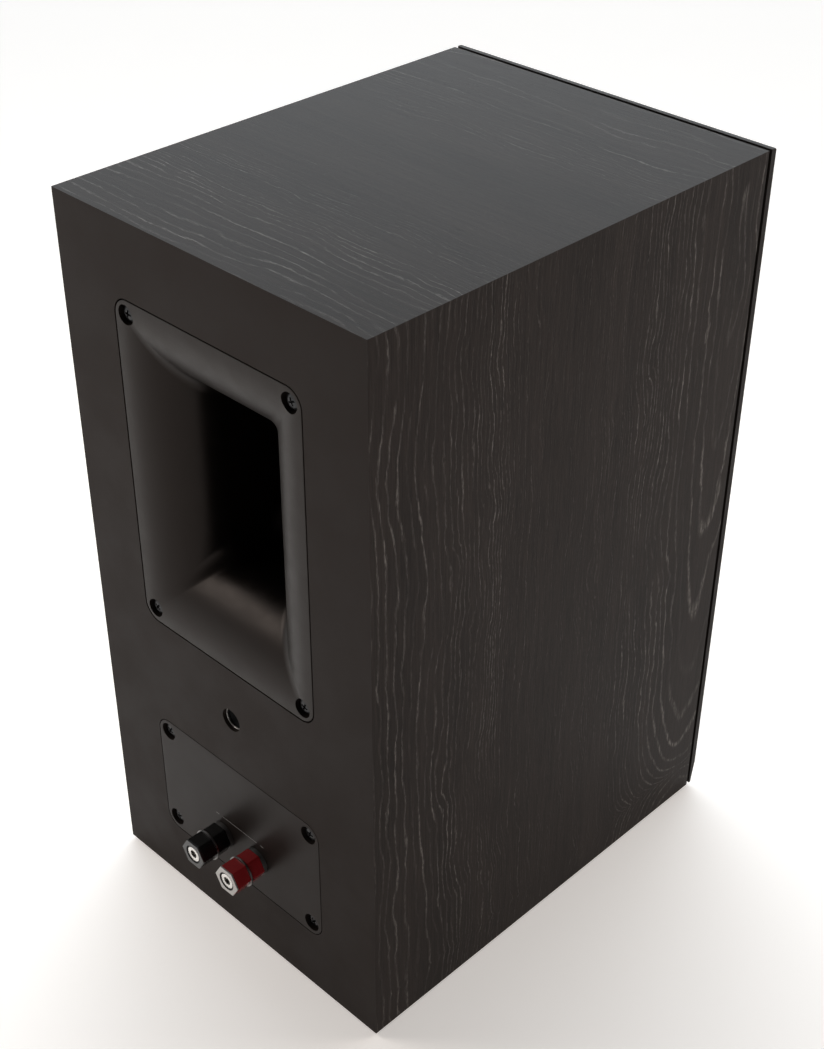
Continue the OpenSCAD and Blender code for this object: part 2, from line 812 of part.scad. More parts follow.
// Half-roll of rubber between the cone's edge and the basket's flange
module woofer_surround() {
  steps = 12;
  mid = (surround_in + surround_out) / 2;
  half = (surround_out - surround_in) / 2;
  function arch(w) = [for (i = [0:steps]) let (t = 180 - i * 180 / steps)
    [mid + (half + w) * cos(t), flange_top + (surround_rise + w) * sin(t)]];
  inside = arch(-lip_rubber);
  color([0.07, 0.07, 0.07]) at_front(0, woofer_z) rotate_extrude()
    polygon(concat([[surround_in - 3, flange_top + lip_rubber], [surround_in, flange_top + lip_rubber]],
      [for (p = arch(0)) if (p[1] > flange_top + lip_rubber) p],
      [[surround_out, flange_top + lip_rubber], [surround_out + 3, flange_top + lip_rubber],
       [surround_out + 3, flange_top]],
      [for (i = [steps:-1:0]) inside[i]], [[surround_in - 3, flange_top]]));
}

// Cone with a gently curved wall from the neck to the rim
module woofer_cone() {
  steps = 10;
  wall = 0.9;
  rim_r = surround_in + 0.5;
  rim_z = flange_top - wall - 0.1;
  bow = 2.5;
  function side(w) = [for (i = [0:steps]) let (u = i / steps)
    [cone_neck_r + 0.1 + (rim_r - cone_neck_r - 0.1) * u + bow * sin(180 * u) * 0.4,
     cone_neck_z + (rim_z - cone_neck_z) * u - bow * sin(180 * u) + w]];
  lower = side(0);
  color([0.3, 0.29, 0.28]) at_front(0, woofer_z) rotate_extrude()
    polygon(concat(side(wall), [for (i = [steps:-1:0]) lower[i]]));
}

module dust_cap() {
  cap_r = 17;
  cap_rise = 5.5;
  wall = 0.6;
  steps = 8;
  seat_z = cone_neck_z + (cap_r - cone_neck_r) / (surround_in - cone_neck_r) * 18 + 0.6;
  function cap(w) = [for (i = [0:steps]) let (t = i * 90 / steps)
    [(cap_r + w) * cos(t), seat_z + (cap_rise + w) * sin(t)]];
  inside = cap(-wall);
  color([0.26, 0.25, 0.24]) at_front(0, woofer_z) rotate_extrude()
    polygon(concat(cap(0), [for (i = [steps:-1:0]) [max(0, inside[i][0]), inside[i][1]]]));
}

// Corrugated disc that centres the coil, glued to the basket's shelf by its flat rim
module woofer_spider() {
  steps = 36;
  rim = [35.5, 40];
  waves = 4;
  wave = 1.2;
  wall = 0.5;
  r0 = cone_neck_r + 0.05;
  function sheet(w) = [for (i = [0:steps]) let (u = i / steps, even = min(1, min(u, 1 - u) * 8))
    [r0 + (rim[0] - r0) * u, shelf_z + wave * even * sin(360 * waves * u) + w]];
  lower = sheet(0);
  color([0.7, 0.55, 0.3]) at_front(0, woofer_z) rotate_extrude()
    polygon(concat(sheet(wall), [[rim[1], shelf_z + wall], [rim[1], shelf_z]],
      [for (i = [steps:-1:0]) lower[i]]));
}

module woofer_voice_coil() {
  color([0.75, 0.5, 0.25]) at_front(0, woofer_z) {
    ring(cone_neck_r, coil_in_r, coil_end_z - 6, cone_neck_z + 1.5);
    ring(13.3, cone_neck_r, coil_end_z - 6, top_plate_z + 3);
  }
}

module woofer_top_plate() {
  color([0.5, 0.5, 0.52]) at_front(0, woofer_z) ring(36, gap_r, magnet_z, top_plate_z);
}

module woofer_magnet() {
  color([0.18, 0.18, 0.19]) at_front(0, woofer_z) ring(41, 21, back_plate_z, magnet_z);
}

module woofer_yoke() {
  vent_r = 4;
  color([0.5, 0.5, 0.52]) at_front(0, woofer_z) difference() {
    union() {
      disc(36, woofer_end_z, back_plate_z);
      disc(pole_r, back_plate_z, top_plate_z + 0.5);
    }
    disc(vent_r, woofer_end_z - 1, top_plate_z + 1);
  }
}

// Countersunk screws under the trim ring
module woofer_screws() {
  slot = [0.9, 4];
  tip = 3;
  color([0.12, 0.12, 0.12]) at_front(0, woofer_z) woofer_fixings()
    translate([0, 0, flange_top]) difference() {
      rotate_extrude() polygon([[0, -driver_screw_len], [driver_shank_r * 0.3, -driver_screw_len],
        [driver_shank_r, tip - driver_screw_len], [driver_shank_r, -flat_head_d],
        [flat_head_r, 0], [0, 0]]);
      for (a = [0, 90]) rotate(a)
        translate([-slot[1] / 2, -slot[0] / 2, -1]) cube([slot[1], slot[0], 2]);
    }
}

// ---------------------------------------------------------------- tweeter

// Rings of the horn's inner surface, from the square mouth to the round throat, set back by w
function horn_rings(w) = [for (s = depths(-horn_throat_z, 16))
  let (a = horn_mouth - roll(s, horn_mouth - horn_throat_r, -horn_throat_z),
       r = 3 + (0.97 * a - 3) * ease(s, 8, -horn_throat_z))
  outline(a + w, a + w, r + w, -s - w)];

module horn() {
  inner = horn_rings(0);
  lead_in = [for (p = inner[0]) [p[0], p[1], 1]];
  flange_r = 34;
  color([0.09, 0.09, 0.09]) at_front(0, horn_z) difference() {
    union() {
      round_slab(horn_w, horn_w, horn_corner, -horn_plate_t, 0);
      loft(horn_rings(horn_wall));
      disc(flange_r, horn_back_z, horn_throat_z + 3);
    }
    loft(concat([lead_in], inner));
    disc(horn_throat_r, horn_back_z - 1, horn_throat_z + 0.5);
    disc(suspension_out, horn_back_z - 1, dome_seat_z + 2.4);
    corners([horn_screw, horn_screw]) {
      disc(screw_shank_r + clearance, -horn_plate_t - 1, 1);
      disc(counterbore_r, -counterbore_d, 1);
    }
  }
}

module horn_screws() {
  color([0.07, 0.07, 0.07]) at_front(0, horn_z) corners([horn_screw, horn_screw])
    translate([0, 0, -counterbore_d]) pan_screw(screw_head_r, screw_head_h, screw_shank_r, screw_len);
}

module tweeter_dome() {
  wall = 0.3;
  steps = 10;
  function cap(w) = [for (i = [0:steps]) let (t = i * 90 / steps)
    [(dome_r + w) * cos(t), dome_seat_z + (dome_rise + w) * sin(t)]];
  inside = cap(-wall);
  color([0.62, 0.63, 0.66]) at_front(0, horn_z) rotate_extrude()
    polygon(concat(cap(0), [for (i = [steps:-1:0]) [max(0, inside[i][0]), inside[i][1]]]));
}

module tweeter_surround() {
  steps = 8;
  mid = 14.1;
  half = 1.5;
  wall = 0.2;
  function arch(w) = [for (i = [0:steps]) let (t = 180 - i * 180 / steps)
    [mid + (half + w) * cos(t), dome_seat_z + (1.2 + w) * sin(t)]];
  inside = arch(-wall);
  color([0.1, 0.1, 0.1]) at_front(0, horn_z) rotate_extrude()
    polygon(concat(arch(0), [[suspension_out - 0.2, dome_seat_z],
      [suspension_out - 0.2, dome_seat_z - wall]], [[mid + half - wall, dome_seat_z - wall]],
      [for (i = [steps - 1:-1:0]) inside[i]]));
}

module tweeter_voice_coil() {
  color([0.75, 0.5, 0.25]) at_front(0, horn_z)
    ring(dome_r, dome_r - 0.3, dome_seat_z - 6, dome_seat_z);
}

module tweeter_top_plate() {
  color([0.5, 0.5, 0.52]) at_front(0, horn_z)
    ring(31, dome_r + 0.4, tweeter_magnet_z, tweeter_plate_z);
}

module tweeter_magnet() {
  color([0.18, 0.18, 0.19]) at_front(0, horn_z) ring(34, 18, tweeter_yoke_z, tweeter_magnet_z);
}

module tweeter_yoke() {
  color([0.5, 0.5, 0.52]) at_front(0, horn_z) {
    disc(31, tweeter_end_z, tweeter_yoke_z);
    disc(dome_r - 0.7, tweeter_yoke_z, tweeter_plate_z - 0.3);
  }
}

top_panel();
bottom_panel();
left_panel();
right_panel();
rear_panel();
front_baffle();
internal_brace();
acoustic_lining();
rubber_feet();
port_flare();
port_tube();
port_gasket();
port_screws();
terminal_plate();
terminal_gasket();
terminal_screws();
wall_mount_insert();
post_collars();
black_post();
red_post();
black_post_base();
red_post_base();
black_clamp_washer();
red_clamp_washer();
black_knob();
red_knob();
black_knob_core();
red_knob_core();
post_nuts();
solder_tags();
crossover_board();
crossover_spacers();
crossover_screws();
woofer_inductor();
tweeter_inductor();
capacitors();
resistors();
input_wires();
woofer_wires();
tweeter_wires();
woofer_basket();
woofer_trim_ring();
driver_gaskets();
woofer_surround();
woofer_cone();
dust_cap();
woofer_spider();
woofer_voice_coil();
woofer_top_plate();
woofer_magnet();
woofer_yoke();
woofer_screws();
horn();
horn_screws();
tweeter_dome();
tweeter_surround();
tweeter_voice_coil();
tweeter_top_plate();
tweeter_magnet();
tweeter_yoke();
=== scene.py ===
"""Looks of the bookshelf speaker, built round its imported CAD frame. Everything is in metres."""
import json
import math

import bmesh
import bpy
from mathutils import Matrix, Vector, noise

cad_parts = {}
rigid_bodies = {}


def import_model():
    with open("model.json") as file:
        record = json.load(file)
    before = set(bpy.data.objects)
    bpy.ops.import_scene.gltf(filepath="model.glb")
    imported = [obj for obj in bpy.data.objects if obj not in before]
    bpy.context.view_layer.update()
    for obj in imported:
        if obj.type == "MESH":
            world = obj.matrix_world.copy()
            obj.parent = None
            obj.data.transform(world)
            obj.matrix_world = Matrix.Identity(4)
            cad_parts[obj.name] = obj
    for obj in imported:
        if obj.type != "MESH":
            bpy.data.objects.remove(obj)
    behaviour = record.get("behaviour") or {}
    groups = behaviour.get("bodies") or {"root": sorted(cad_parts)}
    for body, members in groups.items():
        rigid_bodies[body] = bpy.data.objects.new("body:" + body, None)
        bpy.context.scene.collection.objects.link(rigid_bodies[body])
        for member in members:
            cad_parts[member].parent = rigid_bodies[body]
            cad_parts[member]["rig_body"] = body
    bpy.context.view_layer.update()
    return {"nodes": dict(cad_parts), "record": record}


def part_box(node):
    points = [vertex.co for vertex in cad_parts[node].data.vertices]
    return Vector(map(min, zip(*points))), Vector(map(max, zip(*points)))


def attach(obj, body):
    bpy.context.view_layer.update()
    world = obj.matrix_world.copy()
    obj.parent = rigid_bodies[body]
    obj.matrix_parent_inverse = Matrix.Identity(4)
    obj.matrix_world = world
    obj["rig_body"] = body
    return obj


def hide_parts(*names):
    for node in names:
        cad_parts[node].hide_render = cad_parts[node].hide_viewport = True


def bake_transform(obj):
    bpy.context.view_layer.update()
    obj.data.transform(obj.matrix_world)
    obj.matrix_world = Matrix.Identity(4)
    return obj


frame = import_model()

MM = 0.001
NODES = frame["nodes"]

# ------------------------------------------------------------------ places, all from the frame

SHELL_LOW, SHELL_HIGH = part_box("rear_panel")
REAR_Y = SHELL_HIGH.y
HALF_W = SHELL_HIGH.x
TOP_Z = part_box("top_panel")[1].z
FRONT_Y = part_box("front_baffle")[0].y


def centre(node):
    """Middle of a CAD node's box."""
    low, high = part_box(node)
    return (low + high) / 2


def half_sides(node):
    """Half the width and half the height of a CAD node's box, in millimetres."""
    low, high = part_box(node)
    return round((high.x - low.x) / 2 / MM, 2), round((high.z - low.z) / 2 / MM, 2)


PORT = centre("port_flare")
PLATE = centre("terminal_plate")
WOOFER = centre("woofer_cone")
HORN = centre("horn")
POSTS = {"black": centre("black_post"), "red": centre("red_post")}

# ------------------------------------------------------------------ camera

# Place of the eye in metres from the lower rear corner on the side of the black post, and its turn in
# degrees
EYE_FROM_CORNER = Vector((-0.5496, 0.3517, 0.6347))
EYE_TURN = (54.846, -0.176, -135.247)
SENSOR = 36
LENS = 58.32
SHIFT = (0.0014, 0.0173)
SEEN_FROM, SEEN_TO = 0.01, 60

corner = Vector((HALF_W, REAR_Y, SHELL_LOW.z))
camera = bpy.data.objects.new("camera", bpy.data.cameras.new("camera"))
camera.location = corner + EYE_FROM_CORNER
camera.rotation_euler = [math.radians(a) for a in EYE_TURN]
camera.data.sensor_width = SENSOR
camera.data.lens = LENS
camera.data.shift_x, camera.data.shift_y = SHIFT
camera.data.clip_start = SEEN_FROM
camera.data.clip_end = SEEN_TO
bpy.context.scene.collection.objects.link(camera)
bpy.context.scene.camera = camera

# ------------------------------------------------------------------ materials

FIBREBOARD = (0.3, 0.2, 0.115)
ASH = (0.0128, 0.0094, 0.008)
ASH_STREAK = (0.115, 0.102, 0.092)
STEEL = (0.42, 0.42, 0.41)
NICKEL = (0.72, 0.70, 0.67)
COPPER = (0.6, 0.25, 0.1)
WARM_SHEEN = (1, 0.845, 0.765, 1)

# Most values of a noise lie between these two
SPREAD = (0.3, 0.7)
# Width of the patches over a texture whose cells are 1 mm, and the powers by which they grow with the
# cells and with their stretch
PATCH, PATCH_GROWTH, PATCH_STRETCH = 30, 0.3, 0.5
# Skin of a cabinet panel, which ends between these depths and leaves bare fibreboard
SKIN_T = (6.5, 7.5)
CHIP = 1.6

WOOD_SPECULAR = 0.07
WOOD_ROUGH = 0.48
WOOD_RELIEF = 0.12
# The pointed figure of the grain: how far it stands from the rear edge and below the top, how high the
# arch of its rings is there, and how fast that falls away above and below
FIGURE_AT = 221.0
FIGURE_LOW = 341.0
FIGURE_HIGH = 44.5
FIGURE_TAPER = 2.6
# A ring's width near the figure, and how many more crowd in between two distances from it
RING_WIDE = 5.0
RING_CROWD = 52.0
CROWD_FROM, CROWD_TO = 28.0, 190.0
# How far the rings wander, sway and kink to the side, and how far the figure's arch wanders
WANDER = 26.0
SWAY = 7.0
KINK = 2.6
ARCH_WANDER = 12.0
# Distances from the rear edge between which the streaks grow calm
CALM_FROM, CALM_TO = 40.0, 75.0


def add_node(tree, kind, inputs, **settings):
    """Outputs of a new shader node, whose inputs are linked to sockets or set to values."""
    made = tree.nodes.new("ShaderNode" + kind)
    for key, value in settings.items():
        setattr(made, key, value)
    for key, value in inputs.items():
        if isinstance(value, bpy.types.NodeSocket):
            tree.links.new(value, made.inputs[key])
        else:
            made.inputs[key].default_value = value
    return made.outputs


class Shader:
    """A Principled material whose pattern is worked out from places on the object, in millimetres."""

    def __init__(self, name, rough, **fixed):
        self.material = bpy.data.materials.new(name)
        self.material.use_nodes = True
        self.tree = self.material.node_tree
        self.sockets = self.tree.nodes["Principled BSDF"].inputs
        self.sockets["Roughness"].default_value = rough
        for key, value in fixed.items():
            self.sockets[key.replace("_", " ")].default_value = value
        place = self.tree.nodes.new("ShaderNodeTexCoord").outputs["Object"]
        self.place = self.node("VectorMath", {0: place, 3: 1 / MM}, operation="SCALE")

    def node(self, kind, inputs, out=0, **settings):
        return add_node(self.tree, kind, inputs, **settings)[out]

    def calc(self, operation, *values):
        return self.node("Math", dict(enumerate(values)), operation=operation)

    def add(self, *values):
        total = values[0]
        for value in values[1:]:
            total = self.calc("ADD", total, value)
        return total

    def times(self, *values):
        total = values[0]
        for value in values[1:]:
            total = self.calc("MULTIPLY", total, value)
        return total

    def step(self, value, low, high, to_low=0.0, to_high=1.0):
        """A smooth rise from to_low to to_high as value goes from low to high."""
        return self.node("MapRange", {0: value, 1: low, 2: high, 3: to_low, 4: to_high},
                         interpolation_type="SMOOTHSTEP")

    def axes(self):
        return add_node(self.tree, "SeparateXYZ", {0: self.place})

    def join(self, x, y, z=0.0):
        return self.node("CombineXYZ", {0: x, 1: y, 2: z})

    def noise(self, cell, detail=2.0, seed=0.0, place=None, roughness=0.5):
        """Noise from 0 to 1 whose cells measure cell millimetres along X, Y and Z."""
        sizes = cell if isinstance(cell, tuple) else (cell,) * 3
        scaled = self.node("VectorMath", {0: place or self.place, 1: [1 / c for c in sizes]},
                           operation="MULTIPLY")
        return self.node("TexNoise", {"Vector": scaled, "W": seed, "Scale": 1.0, "Detail": detail,
                                      "Roughness": roughness}, noise_dimensions="4D")

    def mix(self, factor, first, second):
        return self.node("Mix", {0: factor, 6: (*first, 1) if isinstance(first, tuple) else first,
                                 7: (*second, 1) if isinstance(second, tuple) else second},
                         out=2, data_type="RGBA")

    def set(self, key, value):
        """Links value to a socket of the shader."""
        self.tree.links.new(value, self.sockets[key])

    def bump(self, height, depth):
        """height from 0 to 1 stands for depth millimetres."""
        self.set("Normal", self.node("Bump", {"Strength": 1.0, "Distance": depth * MM, "Height": height}))

    def radius(self, middle):
        """Distance in millimetres from an axis along Y through middle."""
        x, y, z = self.axes()
        away = self.join(self.add(x, -middle.x / MM), self.add(z, -middle.z / MM))
        return self.node("VectorMath", {0: away}, out=1, operation="LENGTH")

    def blotch(self, value, colour, vary):
        """colour made darker and lighter by the share vary, as value goes through SPREAD."""
        return self.mix(self.step(value, *SPREAD), tint(colour, 1 - vary), tint(colour, 1 + vary))


def tint(colour, share):
    """colour made darker or lighter by a factor."""
    return tuple(c * share for c in colour)


def from_rear(s):
    """Millimetres in front of the rear face."""
    return s.calc("SUBTRACT", REAR_Y / MM, s.axes()[1])


def down(s):
    """Millimetres below the top of the cabinet."""
    return s.calc("SUBTRACT", TOP_Z / MM, s.axes()[2])


def sideways(s):
    """Millimetres from the left side of the cabinet, seen from the front."""
    return s.add(s.axes()[0], HALF_W / MM)


def bare(s, skin):
    """skin on the outside of the cabinet's panels, and bare fibreboard on their inner faces."""
    x, y, z = s.axes()
    under = s.calc("SUBTRACT", HALF_W / MM, s.calc("ABSOLUTE", x))
    for side in (s.calc("SUBTRACT", REAR_Y / MM, y), s.add(y, -FRONT_Y / MM),
                 s.calc("SUBTRACT", TOP_Z / MM, z), s.add(z, -SHELL_LOW.z / MM)):
        under = s.calc("MINIMUM", under, side)
    chips = s.noise(CHIP, 4, 40.0, roughness=0.7)
    board = s.mix(s.step(chips, *SPREAD), tint(FIBREBOARD, 0.75), tint(FIBREBOARD, 1.2))
    return s.mix(s.step(under, *SKIN_T), skin, board)


def surface(name, colour, rough, cell, vary, bump, scuff=0.06, stretch=(1, 1, 1), panel=False,
            **fixed):
    """Moulded, painted, plated or sintered surface: fine texture, uneven tone and uneven gloss.
    cell is the size of the texture, vary and scuff how far the tone and the gloss wander."""
    s = Shader(name, rough, **fixed)
    fine = s.noise(tuple(cell * k for k in stretch), 3)
    patch = PATCH * cell ** PATCH_GROWTH
    broad = s.noise(tuple(patch * k ** PATCH_STRETCH for k in stretch), 4, 3.0, roughness=0.6)
    skin = s.blotch(s.add(s.times(fine, 0.5), s.times(broad, 0.5)), colour, vary)
    s.set("Base Color", bare(s, skin) if panel else skin)
    s.set("Roughness", s.add(s.step(broad, *SPREAD, rough - scuff, rough + scuff),
                             s.times(fine, scuff * 0.5)))
    s.bump(fine, bump)
    return s.material


def hollow_with_painted_shade(name, colour, rough, low, high):
    """Moulded plastic with painted shade: its colour darkens between two depths behind the rear face, as
    shade inside the duct. It is also glossier inside.
    """
    s = Shader(name, rough, Specular_IOR_Level=0.18, Specular_Tint=WARM_SHEEN)
    painted_shade_inwards = s.step(from_rear(s), low, high)
    fine = s.noise(0.28, 3, 1.0)
    dust = s.noise(9.0, 4, 6.0, roughness=0.6)
    skin = s.blotch(s.add(s.times(fine, 0.5), s.times(dust, 0.5)), colour, 0.12)
    # Painted shade: deeper in, the colour falls to 0.3 of itself
    s.set("Base Color", s.mix(painted_shade_inwards, skin, tint(colour, 0.3)))
    s.set("Roughness", s.add(rough, s.times(painted_shade_inwards, -0.08), s.step(dust, *SPREAD, -0.03, 0.04)))
    s.bump(fine, 0.012)
    return s.material


def turned(name, colour, rough, middle, cell=0.12, vary=0.25, bump=0.006, **fixed):
    """Metal turned on a lathe about an axis along Y through middle: fine rings and streaks of polish."""
    s = Shader(name, rough, **fixed)
    rings = s.node("TexNoise", {"W": s.times(s.radius(middle), 1 / cell), "Scale": 1.0, "Detail": 3.0},
                   noise_dimensions="1D")
    handling = s.noise(3.0, 4, 2.0, roughness=0.7)
    s.set("Base Color", s.blotch(s.add(s.times(rings, 0.6), s.times(handling, 0.4)), colour, vary))
    s.set("Roughness", s.add(s.times(rings, 0.12), s.step(handling, 0.35, 0.7, rough - 0.08, rough + 0.08)))
    s.bump(rings, bump)
    return s.material


def threaded(name, colour, painted_bore_shade, middle, edge):
    """Plated rim round a bore of radius edge, about an axis along Y through middle. Inside the edge the
    colour is painted shade, dark as the bore or groove looks in shadow.
    """
    s = Shader(name, 0.3, Metallic=0.9)
    wear = s.noise(0.6, 3, 5.0)
    rim = s.step(s.add(s.radius(middle), s.times(wear, 0.1)), edge - 0.05, edge + 0.08)
    plating = s.mix(wear, tint(colour, 0.75), tint(colour, 1.2))
    # Painted shade: inside the edge, the bore or groove takes the dark colour
    s.set("Base Color", s.mix(rim, s.mix(wear, tint(painted_bore_shade, 0.6), tint(painted_bore_shade, 1.4)), plating))
    s.set("Roughness", s.add(0.55, s.times(rim, -0.3), s.times(wear, 0.08)))
    s.bump(wear, 0.01)
    return s.material


def grain(name, across, along, board, calm):
    """Open-pored black ash. across and along give millimetres from the rear edge and down the grain.
    board picks the stretch of veneer. calm is what is left of the streaks away from the rear edge.
    The cells of the noises are millimetres across the grain and along it."""
    s = Shader(name, WOOD_ROUGH, Specular_IOR_Level=WOOD_SPECULAR, Specular_Tint=WARM_SHEEN)
    u, v = across(s), along(s)
    flat = s.join(u, v, board)
    # Slow wander of the rings, and the small kinks that make each line ragged
    wander = s.add(s.noise((46, 92, 1), 3, 4.0, flat), -0.5)
    sway = s.add(s.noise((17, 38, 1), 2, 8.0, flat), -0.5)
    kink = s.add(s.noise((1.6, 7, 1), 3, 10.0, flat, 0.65), -0.5)
    bend = s.add(s.times(wander, WANDER), s.times(sway, SWAY), s.times(kink, KINK))
    side = s.add(u, -FIGURE_AT, bend)
    rise = s.add(s.times(s.calc("SQRT", s.calc("ABSOLUTE", s.add(v, -FIGURE_LOW))), -FIGURE_TAPER),
                 FIGURE_HIGH, s.times(wander, ARCH_WANDER))
    reach = s.calc("SQRT", s.add(s.times(side, side), s.times(rise, rise)))
    crowd = s.step(reach, CROWD_FROM, CROWD_TO)
    phase = s.add(s.times(reach, 1 / RING_WIDE), s.times(crowd, RING_CROWD))
    ring = s.calc("FLOOR", phase)
    wave = s.times(s.calc("PINGPONG", phase, 0.5), 2.0)
    own = s.node("TexWhiteNoise", {"W": ring}, noise_dimensions="1D")
    # Each ring has its own strength, and breaks up along its length
    long_gap = s.step(s.noise((1.8, 40, 1), 3, 12.0, flat), 0.38, 0.64)
    short_gap = s.step(s.noise((0.45, 3.5, 1), 3, 14.0, flat, 0.65), 0.4, 0.62)
    patchy = s.step(s.noise((30, 70, 1), 2, 16.0, flat), 0.32, 0.68)
    hump = s.times(crowd, s.calc("SUBTRACT", 1.0, crowd), 4.0)
    strength = s.times(s.add(0.15, s.calc("POWER", own, 1.6)), s.add(0.2, long_gap),
                       s.add(0.25, s.times(short_gap, 1.15)), s.add(0.35, patchy),
                       s.calc("SUBTRACT", 1.0, s.times(hump, 0.7)),
                       s.step(u, CALM_FROM, CALM_TO, 1.0, calm))
    line = s.times(s.step(wave, 0.66, 1.0), strength)
    fibre = s.noise((0.75, 16, 1), 4, 20.0, flat, 0.7)
    strand = s.noise((1.6, 60, 1), 3, 22.0, flat, 0.6)
    pores = s.step(s.noise((0.3, 4, 1), 1, 24.0, flat), 0.6, 0.74)
    broad = s.noise((26, 150, 1), 3, 28.0, flat)
    tone = s.add(s.times(s.step(fibre, *SPREAD), 0.55), s.times(s.step(strand, *SPREAD), 0.3),
                 s.times(s.step(broad, *SPREAD), 0.3), s.times(pores, -0.3), -0.05)
    body = s.mix(tone, tint(ASH, 0.35), tint(ASH, 1.75))
    s.set("Base Color", bare(s, s.mix(line, body, ASH_STREAK)))
    s.set("Roughness", s.add(WOOD_ROUGH - 0.05, s.times(fibre, 0.1), s.times(line, -0.06),
                             s.times(pores, 0.1)))
    s.bump(s.add(s.times(line, 0.5), s.times(fibre, 0.35), s.times(strand, 0.25), s.times(pores, -0.3)),
           WOOD_RELIEF)
    return s.material


LOOKS = {
    "wood_left": grain("ash_left", from_rear, down, 0.0, 1.0),
    "wood_right": grain("ash_right", from_rear, down, 7.0, 0.9),
    "wood_top": grain("ash_top", from_rear, sideways, 13.0, 0.35),
    "wood_bottom": grain("ash_bottom", from_rear, sideways, 19.0, 0.5),
    "rear_satin": surface("rear_satin", (0.0138, 0.0102, 0.0087), 0.5, 0.5, 0.12, 0.012, 0.05,
                          panel=True, Specular_IOR_Level=0.08, Specular_Tint=WARM_SHEEN),
    "baffle_satin": surface("baffle_satin", (0.0115, 0.0092, 0.0082), 0.48, 0.6, 0.15, 0.012,
                            panel=True, Specular_IOR_Level=0.09, Specular_Tint=WARM_SHEEN),
    "board_raw": surface("board_raw", (0.42, 0.29, 0.17), 0.75, 0.8, 0.3, 0.08, stretch=(6, 1, 1)),
    "felt_grey": surface("felt_grey", (0.5, 0.49, 0.46), 0.95, 1.4, 0.35, 0.5, Sheen_Weight=0.4),
    "rubber_black": surface("rubber_black", (0.018, 0.018, 0.018), 0.62, 0.35, 0.25, 0.02),
    # The port's colour darkens from 3 to 22 mm inside the rear face: painted shade in the duct
    "plastic_port": hollow_with_painted_shade("plastic_port", (0.0062, 0.0047, 0.004), 0.4, 3.0, 22.0),
    "plastic_plate": surface("plastic_plate", (0.0115, 0.0088, 0.0078), 0.34, 0.35, 0.1, 0.004, 0.04,
                             Specular_IOR_Level=0.09, Specular_Tint=WARM_SHEEN),
    "foam_grey": surface("foam_grey", (0.05, 0.05, 0.05), 0.9, 0.5, 0.4, 0.2),
    "screw_black": surface("screw_black", (0.03, 0.03, 0.031), 0.28, 0.25, 0.35, 0.01, 0.1,
                           Metallic=0.85),
    "steel_zinc": surface("steel_zinc", STEEL, 0.32, 0.7, 0.2, 0.01, 0.1, Metallic=1.0),
    "steel_coated": surface("steel_coated", (0.014, 0.014, 0.015), 0.5, 0.4, 0.2, 0.015,
                            Specular_IOR_Level=0.3),
    "collar_grey": surface("collar_grey", (0.034, 0.032, 0.031), 0.4, 0.3, 0.15, 0.01),
    "brass_plain": surface("brass_plain", (0.7, 0.55, 0.28), 0.3, 0.4, 0.15, 0.01, Metallic=1.0),
    "circuit_board": surface("circuit_board", (0.02, 0.09, 0.04), 0.4, 1.2, 0.3, 0.02,
                             stretch=(1, 1, 4)),
    "copper": surface("copper", COPPER, 0.3, 0.55, 0.45, 0.25, stretch=(30, 30, 1), Metallic=0.9),
    "copper_coil": surface("copper_coil", COPPER, 0.3, 0.4, 0.45, 0.2, stretch=(30, 1, 30),
                           Metallic=0.9),
    "film_blue": surface("film_blue", (0.03, 0.045, 0.15), 0.3, 1.5, 0.2, 0.04, stretch=(1, 4, 4)),
    "ceramic": surface("ceramic", (0.7, 0.68, 0.62), 0.7, 0.4, 0.12, 0.05),
    "wire_sleeve": surface("wire_sleeve", (0.03, 0.03, 0.03), 0.45, 0.5, 0.3, 0.03),
    "basket_grey": surface("basket_grey", (0.03, 0.03, 0.032), 0.5, 0.5, 0.25, 0.05),
    "cloth_tan": surface("cloth_tan", (0.4, 0.25, 0.1), 0.8, 0.45, 0.4, 0.12),
    "ferrite": surface("ferrite", (0.04, 0.04, 0.042), 0.6, 0.6, 0.35, 0.06),
    "horn_black": surface("horn_black", (0.011, 0.0105, 0.01), 0.42, 0.3, 0.15, 0.012,
                          Specular_IOR_Level=0.25),
    "floor": surface("floor", (0.93, 0.9, 0.875), 0.9, 2.0, 0.01, 0.01, Specular_IOR_Level=0.0,
                     Emission_Color=(1, 0.95, 0.91, 1), Emission_Strength=0.35),
    "ink": surface("ink", (0.13, 0.125, 0.12), 0.5, 0.3, 0.15, 0.005),
    "nickel": surface("nickel", NICKEL, 0.2, 0.4, 0.12, 0.006, 0.08, Metallic=1.0),
    "cone_graphite": turned("cone_graphite", (0.16, 0.155, 0.15), 0.38, WOOFER, 0.7, 0.3, 0.03,
                            Metallic=0.7),
    "dome_metal": turned("dome_metal", (0.4, 0.41, 0.43), 0.3, HORN, 0.25, 0.1, 0.004, Metallic=1.0),
    # The second colour of each threaded look is painted shade inside its bore or groove
    "insert": threaded("insert", (0.5, 0.48, 0.46), (0.006, 0.006, 0.006),
                       centre("wall_mount_insert"), 5.15),
    "nickel_black": turned("nickel_black", NICKEL, 0.2, POSTS["black"], Metallic=1.0),
    "nickel_red": turned("nickel_red", NICKEL, 0.2, POSTS["red"], Metallic=1.0),
    # Painted shade: the second colour darkens the groove and socket of each post's end plate
    "end_plate_red": threaded("end_plate_red", (0.42, 0.405, 0.39), (0.02, 0.018, 0.018),
                              POSTS["red"], 4.85),
    "gunmetal": threaded("gunmetal", (0.07, 0.07, 0.07), (0.008, 0.008, 0.008), POSTS["black"], 4.85),
    "clamp_washer": surface("clamp_washer", (0.2, 0.195, 0.19), 0.3, 0.3, 0.2, 0.004, Metallic=1.0),
    "knob_black": surface("knob_black", (0.004, 0.004, 0.004), 0.2, 0.5, 0.2, 0.004, 0.06,
                          Specular_IOR_Level=0.2),
    "knob_red": surface("knob_red", (0.2, 0.01, 0.012), 0.2, 0.5, 0.15, 0.004, 0.06,
                        Specular_IOR_Level=0.25),
}

